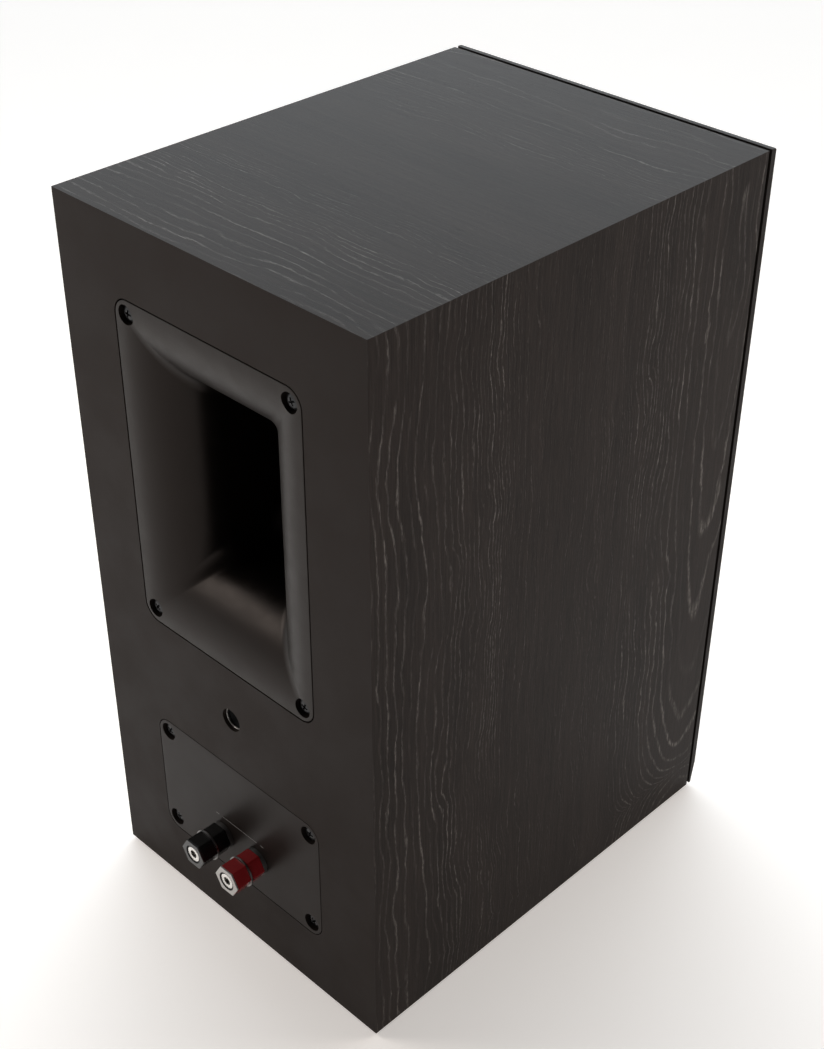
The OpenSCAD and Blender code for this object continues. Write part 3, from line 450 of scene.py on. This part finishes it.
SLOTS = {row["node"]: row["material_slot"] for row in frame["record"]["subparts"]}
SPECIAL = {"top_panel": "wood_top", "bottom_panel": "wood_bottom", "left_panel": "wood_left",
           "right_panel": "wood_right", "red_knob_core": "end_plate_red", "black_post": "nickel_black",
           "red_post": "nickel_red", "black_clamp_washer": "clamp_washer",
           "red_clamp_washer": "clamp_washer", "woofer_voice_coil": "copper_coil",
           "tweeter_voice_coil": "copper_coil", "woofer_yoke": "steel_coated",
           "tweeter_yoke": "steel_coated"}
for name, node in NODES.items():
    node.data.materials.clear()
    node.data.materials.append(LOOKS[SPECIAL.get(name) or SLOTS[name]])

# ------------------------------------------------------------------ mesh helpers

# Degrees between two faces: from here an edge is rounded over, and up to here faces count as one
HARD_EDGE = 40
SAME_FACE = 0.5
# Points of a CAD mesh closer than this, in metres, are one point, and so are those of a new mesh
SAME_POINT = 2e-6
SAME_NEW_POINT = 1e-7
# Corners of a square in order, as signs
AROUND = ((-1, -1), (1, -1), (1, 1), (-1, 1))


def behind(depth, front=False):
    """Y of a place depth millimetres behind the rear face, or behind the front face."""
    return FRONT_Y + depth * MM if front else REAR_Y - depth * MM


def shade(mesh, angle=35):
    """Smooth faces, with hard edges where faces meet at more than angle degrees."""
    bm = bmesh.new()
    bm.from_mesh(mesh)
    for face in bm.faces:
        face.smooth = True
    for edge in bm.edges:
        edge.smooth = len(edge.link_faces) == 2 and edge.calc_face_angle() < math.radians(angle)
    bm.to_mesh(mesh)
    bm.free()


def level(made):
    """Keeps broad flat faces flat in shade right up to their rounded edges."""
    change = made.modifiers.new("level", "WEIGHTED_NORMAL")
    change.keep_sharp = True
    change.weight = 100


def from_bmesh(name, bm, angle=35):
    """A new piece with the shape of bm, which is used up."""
    mesh = bpy.data.meshes.new(name)
    bm.to_mesh(mesh)
    bm.free()
    shade(mesh, angle)
    made = bpy.data.objects.new(name, mesh)
    bpy.context.scene.collection.objects.link(made)
    return made


def new_object(name, points, faces, angle=35):
    """A new piece from points in metres, with coincident points joined."""
    mesh = bpy.data.meshes.new(name)
    mesh.from_pydata([tuple(p) for p in points], [], faces)
    bm = bmesh.new()
    bm.from_mesh(mesh)
    bpy.data.meshes.remove(mesh)
    bmesh.ops.remove_doubles(bm, verts=bm.verts, dist=SAME_NEW_POINT)
    bmesh.ops.recalc_face_normals(bm, faces=bm.faces)
    return from_bmesh(name, bm, angle)


def dress(made, look, body, node):
    """Gives a new piece its material and its body, and hides the CAD node that it stands for."""
    made.data.materials.clear()
    made.data.materials.append(LOOKS[look])
    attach(made, body)
    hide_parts(node)
    return made


def cad_shape(node):
    """The mesh of a CAD node as a bmesh whose faces share their corners."""
    bm = bmesh.new()
    bm.from_mesh(NODES[node].data)
    bmesh.ops.remove_doubles(bm, verts=bm.verts, dist=SAME_POINT)
    return bm


def refine(node, width):
    """A copy of a CAD node whose hard edges are rounded over by width millimetres."""
    bm = cad_shape(node)
    bmesh.ops.dissolve_limit(bm, angle_limit=math.radians(SAME_FACE), verts=bm.verts, edges=bm.edges)
    hard = [e for e in bm.edges
            if len(e.link_faces) == 2 and e.calc_face_angle() > math.radians(HARD_EDGE)]
    bmesh.ops.bevel(bm, geom=hard, offset=width * MM, segments=2, profile=0.6,
                    affect="EDGES", clamp_overlap=True)
    bmesh.ops.triangulate(bm, faces=[f for f in bm.faces if len(f.verts) > 4])
    made = from_bmesh(node + "_detail", bm)
    level(made)
    return dress(made, SPECIAL.get(node) or SLOTS[node], NODES[node]["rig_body"], node)


# Steps along a corner's arc, and along the straight sides across and upright
ARC_STEPS = 12
SIDE_STEPS = (10, 14)


def outline(a, b, r, depth, middle=PORT, front=False):
    """Rounded rectangle with half sides a and b about middle, at a depth behind the rear or front face."""
    def on_arc(quarter, degrees):
        turn = math.radians(degrees)
        x_side = 1 if quarter % 4 in (0, 3) else -1
        z_side = 1 if quarter % 4 < 2 else -1
        return x_side * (a - r) + r * math.cos(turn), z_side * (b - r) + r * math.sin(turn)
    points = []
    for quarter in range(4):
        points += [on_arc(quarter, quarter * 90 + k * 90 / ARC_STEPS) for k in range(ARC_STEPS + 1)]
        here, there = points[-1], on_arc(quarter + 1, (quarter + 1) * 90)
        count = SIDE_STEPS[quarter % 2]
        for k in range(1, count):
            t = k / count
            points.append((here[0] * (1 - t) + there[0] * t, here[1] * (1 - t) + there[1] * t))
    return [Vector((middle.x + x * MM, behind(depth, front), middle.z + z * MM)) for x, z in points]


def loft(name, rings):
    """Closed skin through rings of equal length, from the last one back to the first."""
    n, count = len(rings[0]), len(rings)
    faces = [(i * n + j, i * n + (j + 1) % n, (i + 1) % count * n + (j + 1) % n, (i + 1) % count * n + j)
             for i in range(count) for j in range(n)]
    return new_object(name, [p for ring in rings for p in ring], faces)


def prism(name, near, far):
    """Closed solid between two rings with the same number of points."""
    n = len(near)
    faces = [tuple(range(n)), tuple(range(2 * n - 1, n - 1, -1))]
    faces += [(k, (k + 1) % n, n + (k + 1) % n, n + k) for k in range(n)]
    return new_object(name, near + far, faces)


def lathe(name, profile, axis_at, front=True, steps=96, turn=(0.0, 360.0), angle=35):
    """Closed profile of (radius, height) in millimetres, turned about an axis along Y.
    Height is measured outwards from the front face, or from the rear face."""
    full = turn[1] - turn[0] >= 360
    stations = steps if full else steps + 1
    points = []
    for k in range(stations):
        a = math.radians(turn[0] + (turn[1] - turn[0]) * k / steps)
        points += [(axis_at.x + r * MM * math.cos(a), behind(-height, front),
                    axis_at.z + r * MM * math.sin(a)) for r, height in profile]
    n = len(profile)
    faces = []
    for k in range(steps):
        i, j = k * n, (k + 1) % stations * n
        for m in range(n):
            faces.append((i + m, i + (m + 1) % n, j + (m + 1) % n, j + m))
    if not full:
        faces += [tuple(range(n)), tuple(range(steps * n, steps * n + n))]
    return new_object(name, points, faces, angle)


def cut(made, cutters):
    """Takes the cutters out of a piece and removes them."""
    for cutter in cutters:
        change = made.modifiers.new("cut", "BOOLEAN")
        change.operation = "DIFFERENCE"
        change.solver = "EXACT"
        change.object = cutter
    bpy.context.view_layer.update()
    mesh = bpy.data.meshes.new_from_object(made.evaluated_get(bpy.context.evaluated_depsgraph_get()))
    made.modifiers.clear()
    made.data = mesh
    for cutter in cutters:
        bpy.data.objects.remove(cutter)
    shade(mesh)


def join(name, parts):
    """One piece out of several."""
    bm = bmesh.new()
    for part in parts:
        bm.from_mesh(part.data)
    for part in parts:
        bpy.data.objects.remove(part)
    return from_bmesh(name, bm, angle=50)


def smooth_step(s, a, b):
    """0 up to a, 1 from b on, and a smooth rise between."""
    u = max(0.0, min(1.0, (s - a) / (b - a)))
    return u * u * (3 - 2 * u)


def four_corners(middle, reach_x, reach_z):
    """Places (x, z) at reach_x and reach_z millimetres to each side of middle."""
    return [(middle.x + x * reach_x * MM, middle.z + z * reach_z * MM) for x in (-1, 1) for z in (-1, 1)]


# ------------------------------------------------------------------ port

# Screws sit this far in from the edge of a moulding, in counterbores of this radius and depth
SCREW_INSET = 6.7
BORE_R = 4.5
BORE_DEEP = 2.9
# Cutters stand out of the face by this much
CUT_PROUD = 2
# Radius of a moulding's softened edge, and the share of it that the edge's middle stands in from the corner
SOFT_EDGE = 0.35
SOFT_MIDDLE = 0.3
# Corner radius of the step behind a moulding's plate
BACK_CORNER = 4

FLANGE_HALF = half_sides("port_flare")
FLANGE_CORNER = 8.0
FLANGE_T = 3.5
FLANGE_BACK_IN = 8.6
FLARE_LEN = 88.0
FLARE_WALL = 2.5
# The outside of the wall is drawn between these depths, before its thickness is added
FLARE_OUTSIDE = (1.3, FLARE_LEN - FLARE_WALL - 0.1)
# Mouth of the flare: its half sides at the rear face, how far the walls roll in, and over what depth
MOUTH_HALF = (52, 76.7)
ROLL_IN = (27.5, 32)
ROLL_LEN = (27, 28)
# The tall duct turns into a round one between two depths, and its half sides change by this much
ROUND_FROM, ROUND_BY = 45, 76
ROUND_CHANGE = (0.5, -19.7)
# Radius of the creases at the mouth, and its growth along the roll and towards the round duct
CREASE_R = 2.5
CREASE_GROWTH = (7.5, 14.5)


def flare_ring(s, w=0.0):
    """Ring of the flare's wall at depth s, set back and widened by w."""
    rounding = smooth_step(s, ROUND_FROM, ROUND_BY)
    halves = []
    for mouth, reach, length, change in zip(MOUTH_HALF, ROLL_IN, ROLL_LEN, ROUND_CHANGE):
        roll = reach * math.sqrt(1 - (1 - min(s, length) / length) ** 2)
        halves.append(mouth - roll + rounding * change + w)
    crease = CREASE_R + CREASE_GROWTH[0] * min(1.0, s / ROLL_LEN[0]) + rounding * CREASE_GROWTH[1] + w
    return outline(*halves, crease, s + w)


def counterbores(middle, reach_x, reach_z, front=False):
    """Cutters for the counterbores of four screws round middle."""
    steps = 48
    cutters = []
    for x, z in four_corners(middle, reach_x, reach_z):
        near, far = ([(x + BORE_R * MM * math.cos(math.tau * k / steps), behind(depth, front),
                       z + BORE_R * MM * math.sin(math.tau * k / steps)) for k in range(steps)]
                     for depth in (-CUT_PROUD, BORE_DEEP))
        cutters.append(prism("cutter", near, far))
    return cutters


def soft_plate(half_x, half_z, corner, thick, middle=PORT, front=False):
    """Rings of a plate's outside, from its back to a softened edge at its face."""
    bow = SOFT_EDGE * SOFT_MIDDLE
    sizes = [(0, thick), (0, SOFT_EDGE), (bow, bow), (SOFT_EDGE, 0)]
    return [outline(half_x - e, half_z - e, corner - e, depth, middle, front) for e, depth in sizes]


def port():
    """The port's moulding: flange, flare and the start of the round duct, with four counterbores."""
    half_x, half_z = FLANGE_HALF
    inner_steps, outer_steps = 46, 30
    inner = [flare_ring(FLARE_LEN * (k / inner_steps) ** 2) for k in range(inner_steps + 1)]
    start, end = FLARE_OUTSIDE
    outer = [flare_ring(start + (end - start) * (k / outer_steps) ** 2, FLARE_WALL)
             for k in range(outer_steps, -1, -1)]
    under = outline(half_x - FLANGE_BACK_IN, half_z - FLANGE_BACK_IN, BACK_CORNER, FLANGE_T)
    edge = soft_plate(half_x, half_z, FLANGE_CORNER, FLANGE_T)
    made = loft("port_flare_detail", inner + outer + [under] + edge)
    cut(made, counterbores(PORT, half_x - SCREW_INSET, half_z - SCREW_INSET))
    level(made)
    dress(made, "plastic_port", "root", "port_flare")


port()

# ------------------------------------------------------------------ horn

HORN_HALF = half_sides("horn")[0]
HORN_CORNER = 6.0
HORN_PLATE_T = 5.0
HORN_SCREW_REACH = HORN_HALF - 6.5
HORN_BACK_HALF = HORN_HALF - 7
HORN_DEEP = 52.0
HORN_WALL = 2.5
HORN_OUTSIDE = (2.6, HORN_DEEP - 2.4)
# Half side and corner of the square mouth, and the round throat that it narrows to
HORN_MOUTH = 66.0
MOUTH_CORNER = 3
THROAT_R = 13.5
# Near the throat the corners take this share of the half side, after a first stretch at the mouth
NEARLY_ROUND = 0.97
SQUARE_TO = 8
# Behind the throat: the pocket for the suspension, and the round flange that the motor sits on
POCKET_R, POCKET_FROM, POCKET_TO = 17, 54, 57
SEAT_R, SEAT_FRONT = 34, 49
NECK_R = 18.5
# Half side of the square whose points give the directions for those round rings
STAR_HALF = 60


def horn_ring(s, w=0.0):
    """Ring of the horn's wall at depth s, set back and widened by w."""
    roll = math.sqrt(1 - (1 - min(s, HORN_DEEP) / HORN_DEEP) ** 2)
    a = HORN_MOUTH - (HORN_MOUTH - THROAT_R) * roll
    r = MOUTH_CORNER + (NEARLY_ROUND * a - MOUTH_CORNER) * smooth_step(s, SQUARE_TO, HORN_DEEP)
    return outline(a + w, a + w, r + w, s + w, HORN, True)


def round_ring(radius, s):
    """Circle about the horn's axis whose points run in step with outline's."""
    ring = []
    for p in outline(STAR_HALF, STAR_HALF, MOUTH_CORNER, s, HORN, True):
        away = Vector((p.x - HORN.x, 0, p.z - HORN.z)).normalized() * radius * MM
        ring.append(Vector((HORN.x + away.x, p.y, HORN.z + away.z)))
    return ring


def horn_piece():
    """The horn's moulding: plate, square mouth, round throat and the seat of the tweeter's motor."""
    inner_steps, outer_steps = 36, 24
    inner = [horn_ring(HORN_DEEP * (k / inner_steps) ** 2) for k in range(inner_steps)]
    seat = [round_ring(radius, s) for radius, s in (
        (THROAT_R, HORN_DEEP), (THROAT_R, POCKET_FROM), (POCKET_R, POCKET_FROM), (POCKET_R, POCKET_TO),
        (SEAT_R, POCKET_TO), (SEAT_R, SEAT_FRONT), (NECK_R, SEAT_FRONT))]
    start, end = HORN_OUTSIDE
    outer = [horn_ring(start + (end - start) * (k / outer_steps) ** 2, HORN_WALL)
             for k in range(outer_steps - 1, -1, -1)]
    under = outline(HORN_BACK_HALF, HORN_BACK_HALF, BACK_CORNER, HORN_PLATE_T, HORN, True)
    edge = soft_plate(HORN_HALF, HORN_HALF, HORN_CORNER, HORN_PLATE_T, HORN, True)
    made = loft("horn_detail", inner + seat + outer + [under] + edge)
    cut(made, counterbores(HORN, HORN_SCREW_REACH, HORN_SCREW_REACH, True))
    dress(made, "horn_black", "root", "horn")


horn_piece()

# ------------------------------------------------------------------ screws

HEAD_R = 3.5
HEAD_H = 1.8
HEAD_RIM = 0.7
SHANK_R = 1.5
SHANK_END = 3.0
TIP_R = 0.4
SCREW_LEN = 11.0
# Cross recess: half length and half width of a slot above the head and at its floor, and the floor's height
SLOT_TOP = (2.05, 0.5)
SLOT_FLOOR = (1.0, 0.3)
SLOT_FLOOR_H = 0.45
SLOT_PROUD = 0.2


def pan_screw(x, z, front, turn):
    """Pan-head screw with a tapered cross recess, its seat at the bottom of a counterbore."""
    seat, dome_steps = -BORE_DEEP, 10
    dome = [(HEAD_R * math.sin(t), seat + HEAD_RIM + (HEAD_H - HEAD_RIM) * math.cos(t))
            for t in [math.radians(k * 90 / dome_steps) for k in range(dome_steps + 1)]]
    profile = dome + [(HEAD_R, seat), (SHANK_R, seat), (SHANK_R, seat + SHANK_END - SCREW_LEN),
                      (TIP_R, seat - SCREW_LEN), (0, seat - SCREW_LEN)]
    made = lathe("screw", profile, Vector((x, 0, z)), front, steps=40, angle=50)
    slots = []
    for quarter in (0, 90):
        a = math.radians(turn + quarter)
        along, across = Vector((math.cos(a), 0, math.sin(a))), Vector((-math.sin(a), 0, math.cos(a)))
        near, far = ([Vector((x, behind(-height, front), z)) + (along * i * length + across * j * width) * MM
                      for i, j in ((1, 1), (-1, 1), (-1, -1), (1, -1))]
                     for height, (length, width) in ((seat + HEAD_H + SLOT_PROUD, SLOT_TOP),
                                                     (seat + SLOT_FLOOR_H, SLOT_FLOOR)))
        slots.append(prism("slot", near, far))
    cut(made, slots)
    return made


def screw_set(node, middle, reach_x, reach_z, front, turns):
    """Four screws round middle. turns are the degrees that their recesses stand at."""
    parts = [pan_screw(x, z, front, turn)
             for (x, z), turn in zip(four_corners(middle, reach_x, reach_z), turns)]
    dress(join(node + "_detail", parts), "screw_black", "root", node)


PLATE_HALF = half_sides("terminal_plate")
screw_set("port_screws", PORT, FLANGE_HALF[0] - SCREW_INSET, FLANGE_HALF[1] - SCREW_INSET, False,
          (20, 64, 38, 8))
screw_set("terminal_screws", PLATE, PLATE_HALF[0] - SCREW_INSET, PLATE_HALF[1] - SCREW_INSET, False,
          (52, 15, 71, 30))
screw_set("horn_screws", HORN, HORN_SCREW_REACH, HORN_SCREW_REACH, True, (10, 35, 80, 58))

# ------------------------------------------------------------------ small hard parts

# Millimetres by which the hard edges of these CAD parts are rounded over
EDGE_WIDTHS = {
    "terminal_plate": 0.3, "post_collars": 0.35, "black_post_base": 0.45, "red_post_base": 0.45,
    "black_knob": 0.4, "red_knob": 0.4, "black_knob_core": 0.22, "red_knob_core": 0.22,
    "black_clamp_washer": 0.12, "red_clamp_washer": 0.12, "rubber_feet": 0.4, "woofer_basket": 0.3,
    "port_tube": 0.3, "internal_brace": 0.4, "black_post": 0.15, "red_post": 0.15, "post_nuts": 0.3,
    "solder_tags": 0.12, "crossover_board": 0.15, "crossover_spacers": 0.2, "capacitors": 0.9,
    "resistors": 0.7, "woofer_inductor": 0.35, "tweeter_inductor": 0.35, "woofer_magnet": 0.8,
    "woofer_yoke": 0.5, "woofer_top_plate": 0.4, "tweeter_magnet": 0.6, "tweeter_yoke": 0.4,
    "tweeter_top_plate": 0.4}
for node, width in EDGE_WIDTHS.items():
    refine(node, width)


def wall_insert():
    """Threaded metal sleeve: a bright rim, a funnel and a thread, which its material paints dark as shade in
    the bore.
    """
    node = "wall_mount_insert"
    low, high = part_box(node)
    top, far = round((high.y - REAR_Y) / MM, 2), round((low.y - REAR_Y) / MM, 2)
    outside, rim = half_sides(node)[0], 5.2
    funnel_top, funnel_end, funnel_r = -3.2, -4.4, 3.6
    bore, pitch, groove, thread_top, turns = 3.2, 1.0, 0.35, -4.6, 11
    profile = [(outside, far), (outside, top - 0.2), (outside - 0.15, top), (rim, top),
               (rim - 0.1, top - 0.1), (rim - 0.15, funnel_top), (funnel_r, funnel_end)]
    for k in range(turns):
        height = thread_top - k * pitch
        profile += [(bore, height), (bore + groove, height - pitch / 2)]
    profile.append((bore, far))
    dress(lathe(node + "_detail", profile, centre(node), False), "insert", "root", node)


wall_insert()

# A thin printed rule between the posts, with the sign of each post beside it
PRINT_SUNK = -0.05
PRINT_T = 0.06
RULE_ABOVE_POSTS = 11.3
RULE_W = 0.35
SIGN_GAP = 3.6
SIGN_LEN = 2.2
SIGN_W = 0.4
PLUS_UPRIGHT = 0.9


def printed_bar(x, z, wide, high):
    """Flat bar about a place on the rear face, all in millimetres."""
    near, far = ([(x * MM + i * wide * MM / 2, behind(-height), z * MM + j * high * MM / 2)
                  for i, j in AROUND] for height in (PRINT_SUNK, PRINT_T))
    return prism("bar", near, far)


def polarity_marks():
    """The rule between the posts, with a minus beside the black one and a plus beside the red one."""
    half = POSTS["black"].x / MM
    rule_z = POSTS["black"].z / MM + RULE_ABOVE_POSTS
    sign_x = half + SIGN_GAP
    bars = [printed_bar(0, rule_z, 2 * half, RULE_W), printed_bar(sign_x, rule_z, SIGN_LEN, SIGN_W),
            printed_bar(-sign_x, rule_z, SIGN_LEN, SIGN_W),
            printed_bar(-sign_x, rule_z, SIGN_W, PLUS_UPRIGHT)]
    made = join("polarity_marks", bars)
    made.data.materials.append(LOOKS["ink"])
    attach(made, "root")


polarity_marks()

# ------------------------------------------------------------------ woofer and tweeter

# Height of the basket's flange, which carries the surround, against the front face
FLANGE_TOP = -5.0
RING_STEPS = 192


def arch(mid, half, rise, base, steps, w=0.0):
    """Half-roll from its inner foot to its outer foot, widened by w."""
    turns = [math.radians(180 - k * 180 / steps) for k in range(steps + 1)]
    return [(mid + (half + w) * math.cos(turn), base + (rise + w) * math.sin(turn)) for turn in turns]


def flexing(node, profile, middle, look, sectors):
    """A ring turned about middle in sectors, each with the look, in place of the CAD node, which is hidden.
    """
    for k in range(sectors):
        turn = (k * 360 / sectors, (k + 1) * 360 / sectors)
        made = lathe(f"{node}_{k + 1}", profile, middle, steps=RING_STEPS // sectors, turn=turn, angle=60)
        made.data.materials.append(LOOKS[look])
        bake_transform(made)
        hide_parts(node)


def seat_height(node):
    """Height of the back of a CAD node against the front face, in millimetres."""
    return (FRONT_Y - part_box(node)[1].y) / MM


def cap(node, middle, wall, look, body):
    """Thin domed cap with the radius, rise and seat of its CAD node."""
    low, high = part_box(node)
    radius, rise, seat = half_sides(node)[0], round((high.y - low.y) / MM, 2), seat_height(node)
    steps = 20
    quarter = [math.radians(k * 90 / steps) for k in range(steps + 1)]
    outside = [(radius * math.cos(t), seat + rise * math.sin(t)) for t in quarter]
    inside = [((radius - wall) * math.cos(t), seat + (rise - wall) * math.sin(t)) for t in quarter]
    dress(lathe(node + "_detail", outside + inside[::-1], middle), look, body, node)


def trim_ring():
    """Flat ring with a rounded outer edge and a slope down to the surround."""
    outside, back = 78, -4.4
    profile = [(59.5, back), (outside, back), (outside, -1.2), (77.75, -0.55), (77.2, -0.15), (76.5, 0),
               (66.4, 0), (65.2, -0.12), (63, -0.9), (61.2, -1.9), (60.5, -2.6)]
    dress(lathe("woofer_trim_ring_detail", profile, WOOFER, steps=RING_STEPS), "horn_black", "root",
          "woofer_trim_ring")


def woofer_surround():
    """Rubber half-roll between two flat feet."""
    thick, rise, foot = 0.6, 4.0, 3
    inner, outer = 46.5, 58.0
    still_r, moving_r, steps = 56.5, 47, 28
    mid, half, top = (inner + outer) / 2, (outer - inner) / 2, FLANGE_TOP + thick
    over = [p for p in arch(mid, half, rise, FLANGE_TOP, steps) if p[1] > top]
    under = arch(mid, half, rise, FLANGE_TOP, steps, -thick)
    profile = ([(inner - foot, top), (inner, top)] + over
               + [(outer, top), (outer + foot, top), (outer + foot, FLANGE_TOP)]
               + under[::-1] + [(inner - foot, FLANGE_TOP)])
    flexing("woofer_surround", profile, WOOFER, "rubber_black", 24)


def woofer_cone():
    """Bowed cone with fine rings pressed into it."""
    neck, rim, deep, rim_height, wall, bow, lean = 13.0, 47.0, -24.0, -6.0, 0.9, 2.5, 0.4
    ripple, ripples, fade, steps = 0.1, 9, 6, 60

    def side(w):
        points = []
        for k in range(steps + 1):
            u = k / steps
            wave = ripple * math.sin(math.tau * ripples * u) * min(1, fade * u, fade * (1 - u))
            points.append((neck + (rim - neck) * u + bow * lean * math.sin(math.pi * u),
                           deep + (rim_height - deep) * u - bow * math.sin(math.pi * u) + w + wave))
        return points
    dress(lathe("woofer_cone_detail", side(wall) + side(0)[::-1], WOOFER, steps=144), "cone_graphite",
          "woofer_moving", "woofer_cone")


def woofer_spider():
    """Corrugated cloth between the coil and a flat rim on the basket's shelf."""
    shelf, start, stop, rim, thick = -33.0, 12.95, 35.5, 40.0, 0.5
    swell, waves, fade, steps = 1.2, 4, 8, 80

    def sheet(w):
        points = []
        for k in range(steps + 1):
            u = k / steps
            height = swell * min(1, fade * min(u, 1 - u)) * math.sin(math.tau * waves * u)
            points.append((start + (stop - start) * u, shelf + height + w))
        return points
    profile = sheet(thick) + [(rim, shelf + thick), (rim, shelf)] + sheet(0)[::-1]
    flexing("woofer_spider", profile, WOOFER, "cloth_tan", 12)


def tweeter_surround():
    """Narrow half-roll with a flat foot outside."""
    mid, half, rise, thick, foot_r, steps = 14.1, 1.5, 1.2, 0.2, 16.8, 16
    seat = seat_height("tweeter_dome")
    under = arch(mid, half, rise, seat, steps, -thick)
    foot = [(foot_r, seat), (foot_r, seat - thick), (mid + half - thick, seat - thick)]
    profile = arch(mid, half, rise, seat, steps) + foot + under[-2::-1]
    flexing("tweeter_surround", profile, HORN, "rubber_black", 8)


trim_ring()
woofer_surround()
woofer_cone()
cap("dust_cap", WOOFER, 0.6, "cone_graphite", "woofer_moving")
woofer_spider()
cap("tweeter_dome", HORN, 0.3, "dome_metal", "tweeter_moving")
tweeter_surround()

# ------------------------------------------------------------------ damping pads and foam gaskets

# Shares of a pad's half thickness: at its edges, what the crown adds, and how far lumps go
PAD_EDGE = 0.62
PAD_CROWN = 0.33
PAD_LUMP = 0.05
LUMP_CROWD = 3.1
# Share of a pad's width that it fills, and how much of that its two faces lose
PAD_FILL = 0.985
PAD_TAPER = 0.02
PAD_CUTS = 23
GASKET_EDGE = 0.15


def pad(name, low, high, seed):
    """A batt of felt: soft corners, slightly crowned faces and a lumpy surface, inside low to high."""
    middle, half = (low + high) / 2, (high - low) / 2
    thin = min(range(3), key=lambda k: half[k])
    bm = bmesh.new()
    bmesh.ops.create_cube(bm, size=2)
    bmesh.ops.subdivide_edges(bm, edges=bm.edges, cuts=PAD_CUTS, use_grid_fill=True)
    for vertex in bm.verts:
        shares = vertex.co.copy()
        lump = noise.noise(vertex.co * LUMP_CROWD + Vector((seed, 0, 0)))
        wide = [k for k in range(3) if k != thin]
        crown = (1 - abs(shares[wide[0]]) ** 6) * (1 - abs(shares[wide[1]]) ** 6)
        for k in wide:
            shares[k] *= PAD_FILL - PAD_TAPER * abs(vertex.co[thin]) ** 3
        shares[thin] *= PAD_EDGE + PAD_CROWN * crown + PAD_LUMP * lump
        vertex.co = Vector([middle[k] + shares[k] * half[k] for k in range(3)])
    made = from_bmesh(name, bm, angle=80)
    dress(made, "felt_grey", "root", "acoustic_lining")


def solids(node):
    """Low and high corner of each separate solid of a CAD node, in a fixed order."""
    bm = cad_shape(node)
    waiting = set(bm.verts)
    boxes = []
    while waiting:
        reached = [waiting.pop()]
        for vertex in reached:
            for edge in vertex.link_edges:
                other = edge.other_vert(vertex)
                if other in waiting:
                    waiting.remove(other)
                    reached.append(other)
        boxes.append([[pick(v.co[k] for v in reached) for k in range(3)] for pick in (min, max)])
    bm.free()
    return [(Vector(low), Vector(high)) for low, high in sorted(boxes)]


def lining():
    """A felt pad for each solid of the lining, named by the side and storey that it is on."""
    brace = centre("internal_brace")
    for number, (low, high) in enumerate(solids("acoustic_lining")):
        middle = (low + high) / 2
        side = "right" if middle.x > 0 else "left"
        storey = "upper" if middle.z > brace.z else "lower"
        lies_flat = high.z - low.z < high.x - low.x
        pad("top_pad" if lies_flat else f"{side}_{storey}_pad", low, high, 3.0 * number)


lining()
for node in ("port_gasket", "terminal_gasket", "driver_gaskets"):
    refine(node, GASKET_EDGE)

# ------------------------------------------------------------------ lamps, floor and backdrop

LAMP_SIDE = 0.4
LAMP_COLOUR = (1, 0.95, 0.9)


def lamp(name, place, aim, power):
    """Soft square lamp at place, turned towards aim."""
    made = bpy.data.objects.new(name, bpy.data.lights.new(name, "AREA"))
    made.data.shape = "SQUARE"
    made.data.size = LAMP_SIDE
    made.data.energy = power
    made.data.color = LAMP_COLOUR
    made.location = place
    made.rotation_mode = "QUATERNION"
    made.rotation_quaternion = (Vector(aim) - Vector(place)).to_track_quat("-Z", "Y")
    made.visible_camera = False
    bpy.context.scene.collection.objects.link(made)


lamp("rear_lamp", (0.6, 0.52, 0.64), (0.04, REAR_Y, 0.3), 3.2)
lamp("side_lamp", (-0.55, -0.6, 0.62), (-HALF_W, -0.08, 0.3), 2.3)

# The room: pale walls that meet the floor at the horizon, a dim ceiling, and one broad soft window
# of light high up in front of the cabinet. Heights go from 0 at the horizon to 1 overhead.
HORIZON = 1.05
WALLS = 0.42
CEILING = 0.05
HORIZON_FADE = 0.22
CEILING_FROM, CEILING_FULL = 0.14, 0.6
WALL_TINT = (1, 0.965, 0.94, 1)
WINDOW = 2.75
WINDOW_TINT = (0.945, 1.022, 1.078, 1)
WINDOW_AT = Vector((0.574, -0.582, 0.576))
WINDOW_EDGE = 0.6


def room():
    """The backdrop, which lights the scene and shows in reflections."""
    world = bpy.data.worlds.new("studio")
    world.use_nodes = True
    tree = world.node_tree

    def ramp(value, low, high, to_low, to_high):
        return add_node(tree, "MapRange", {0: value, 1: low, 2: high, 3: to_low, 4: to_high},
                        interpolation_type="SMOOTHSTEP")[0]

    heading = add_node(tree, "TexCoord", {})["Generated"]
    height = add_node(tree, "SeparateXYZ", {0: heading})["Z"]
    glow_low = ramp(height, 0.0, HORIZON_FADE, HORIZON - WALLS, 0.0)
    glow_high = ramp(height, CEILING_FROM, CEILING_FULL, WALLS, CEILING)
    walls = add_node(tree, "Math", {0: glow_low, 1: glow_high}, operation="ADD")[0]
    toward = add_node(tree, "VectorMath", {0: heading, 1: WINDOW_AT}, operation="DOT_PRODUCT")["Value"]
    window = ramp(toward, WINDOW_EDGE, 1.0, 0.0, WINDOW)
    wall_glow = add_node(tree, "Background", {"Color": WALL_TINT, "Strength": walls})[0]
    window_glow = add_node(tree, "Background", {"Color": WINDOW_TINT, "Strength": window})[0]
    both = add_node(tree, "AddShader", {0: wall_glow, 1: window_glow})[0]
    tree.links.new(both, tree.nodes["World Output"].inputs["Surface"])
    bpy.context.scene.world = world


room()

FLOOR_HALF = 12.0
floor = new_object("floor", [(x * FLOOR_HALF, y * FLOOR_HALF, 0) for x, y in AROUND], [(0, 1, 2, 3)])
floor.data.materials.append(LOOKS["floor"])
bpy.context.scene.view_settings.view_transform = "Standard"
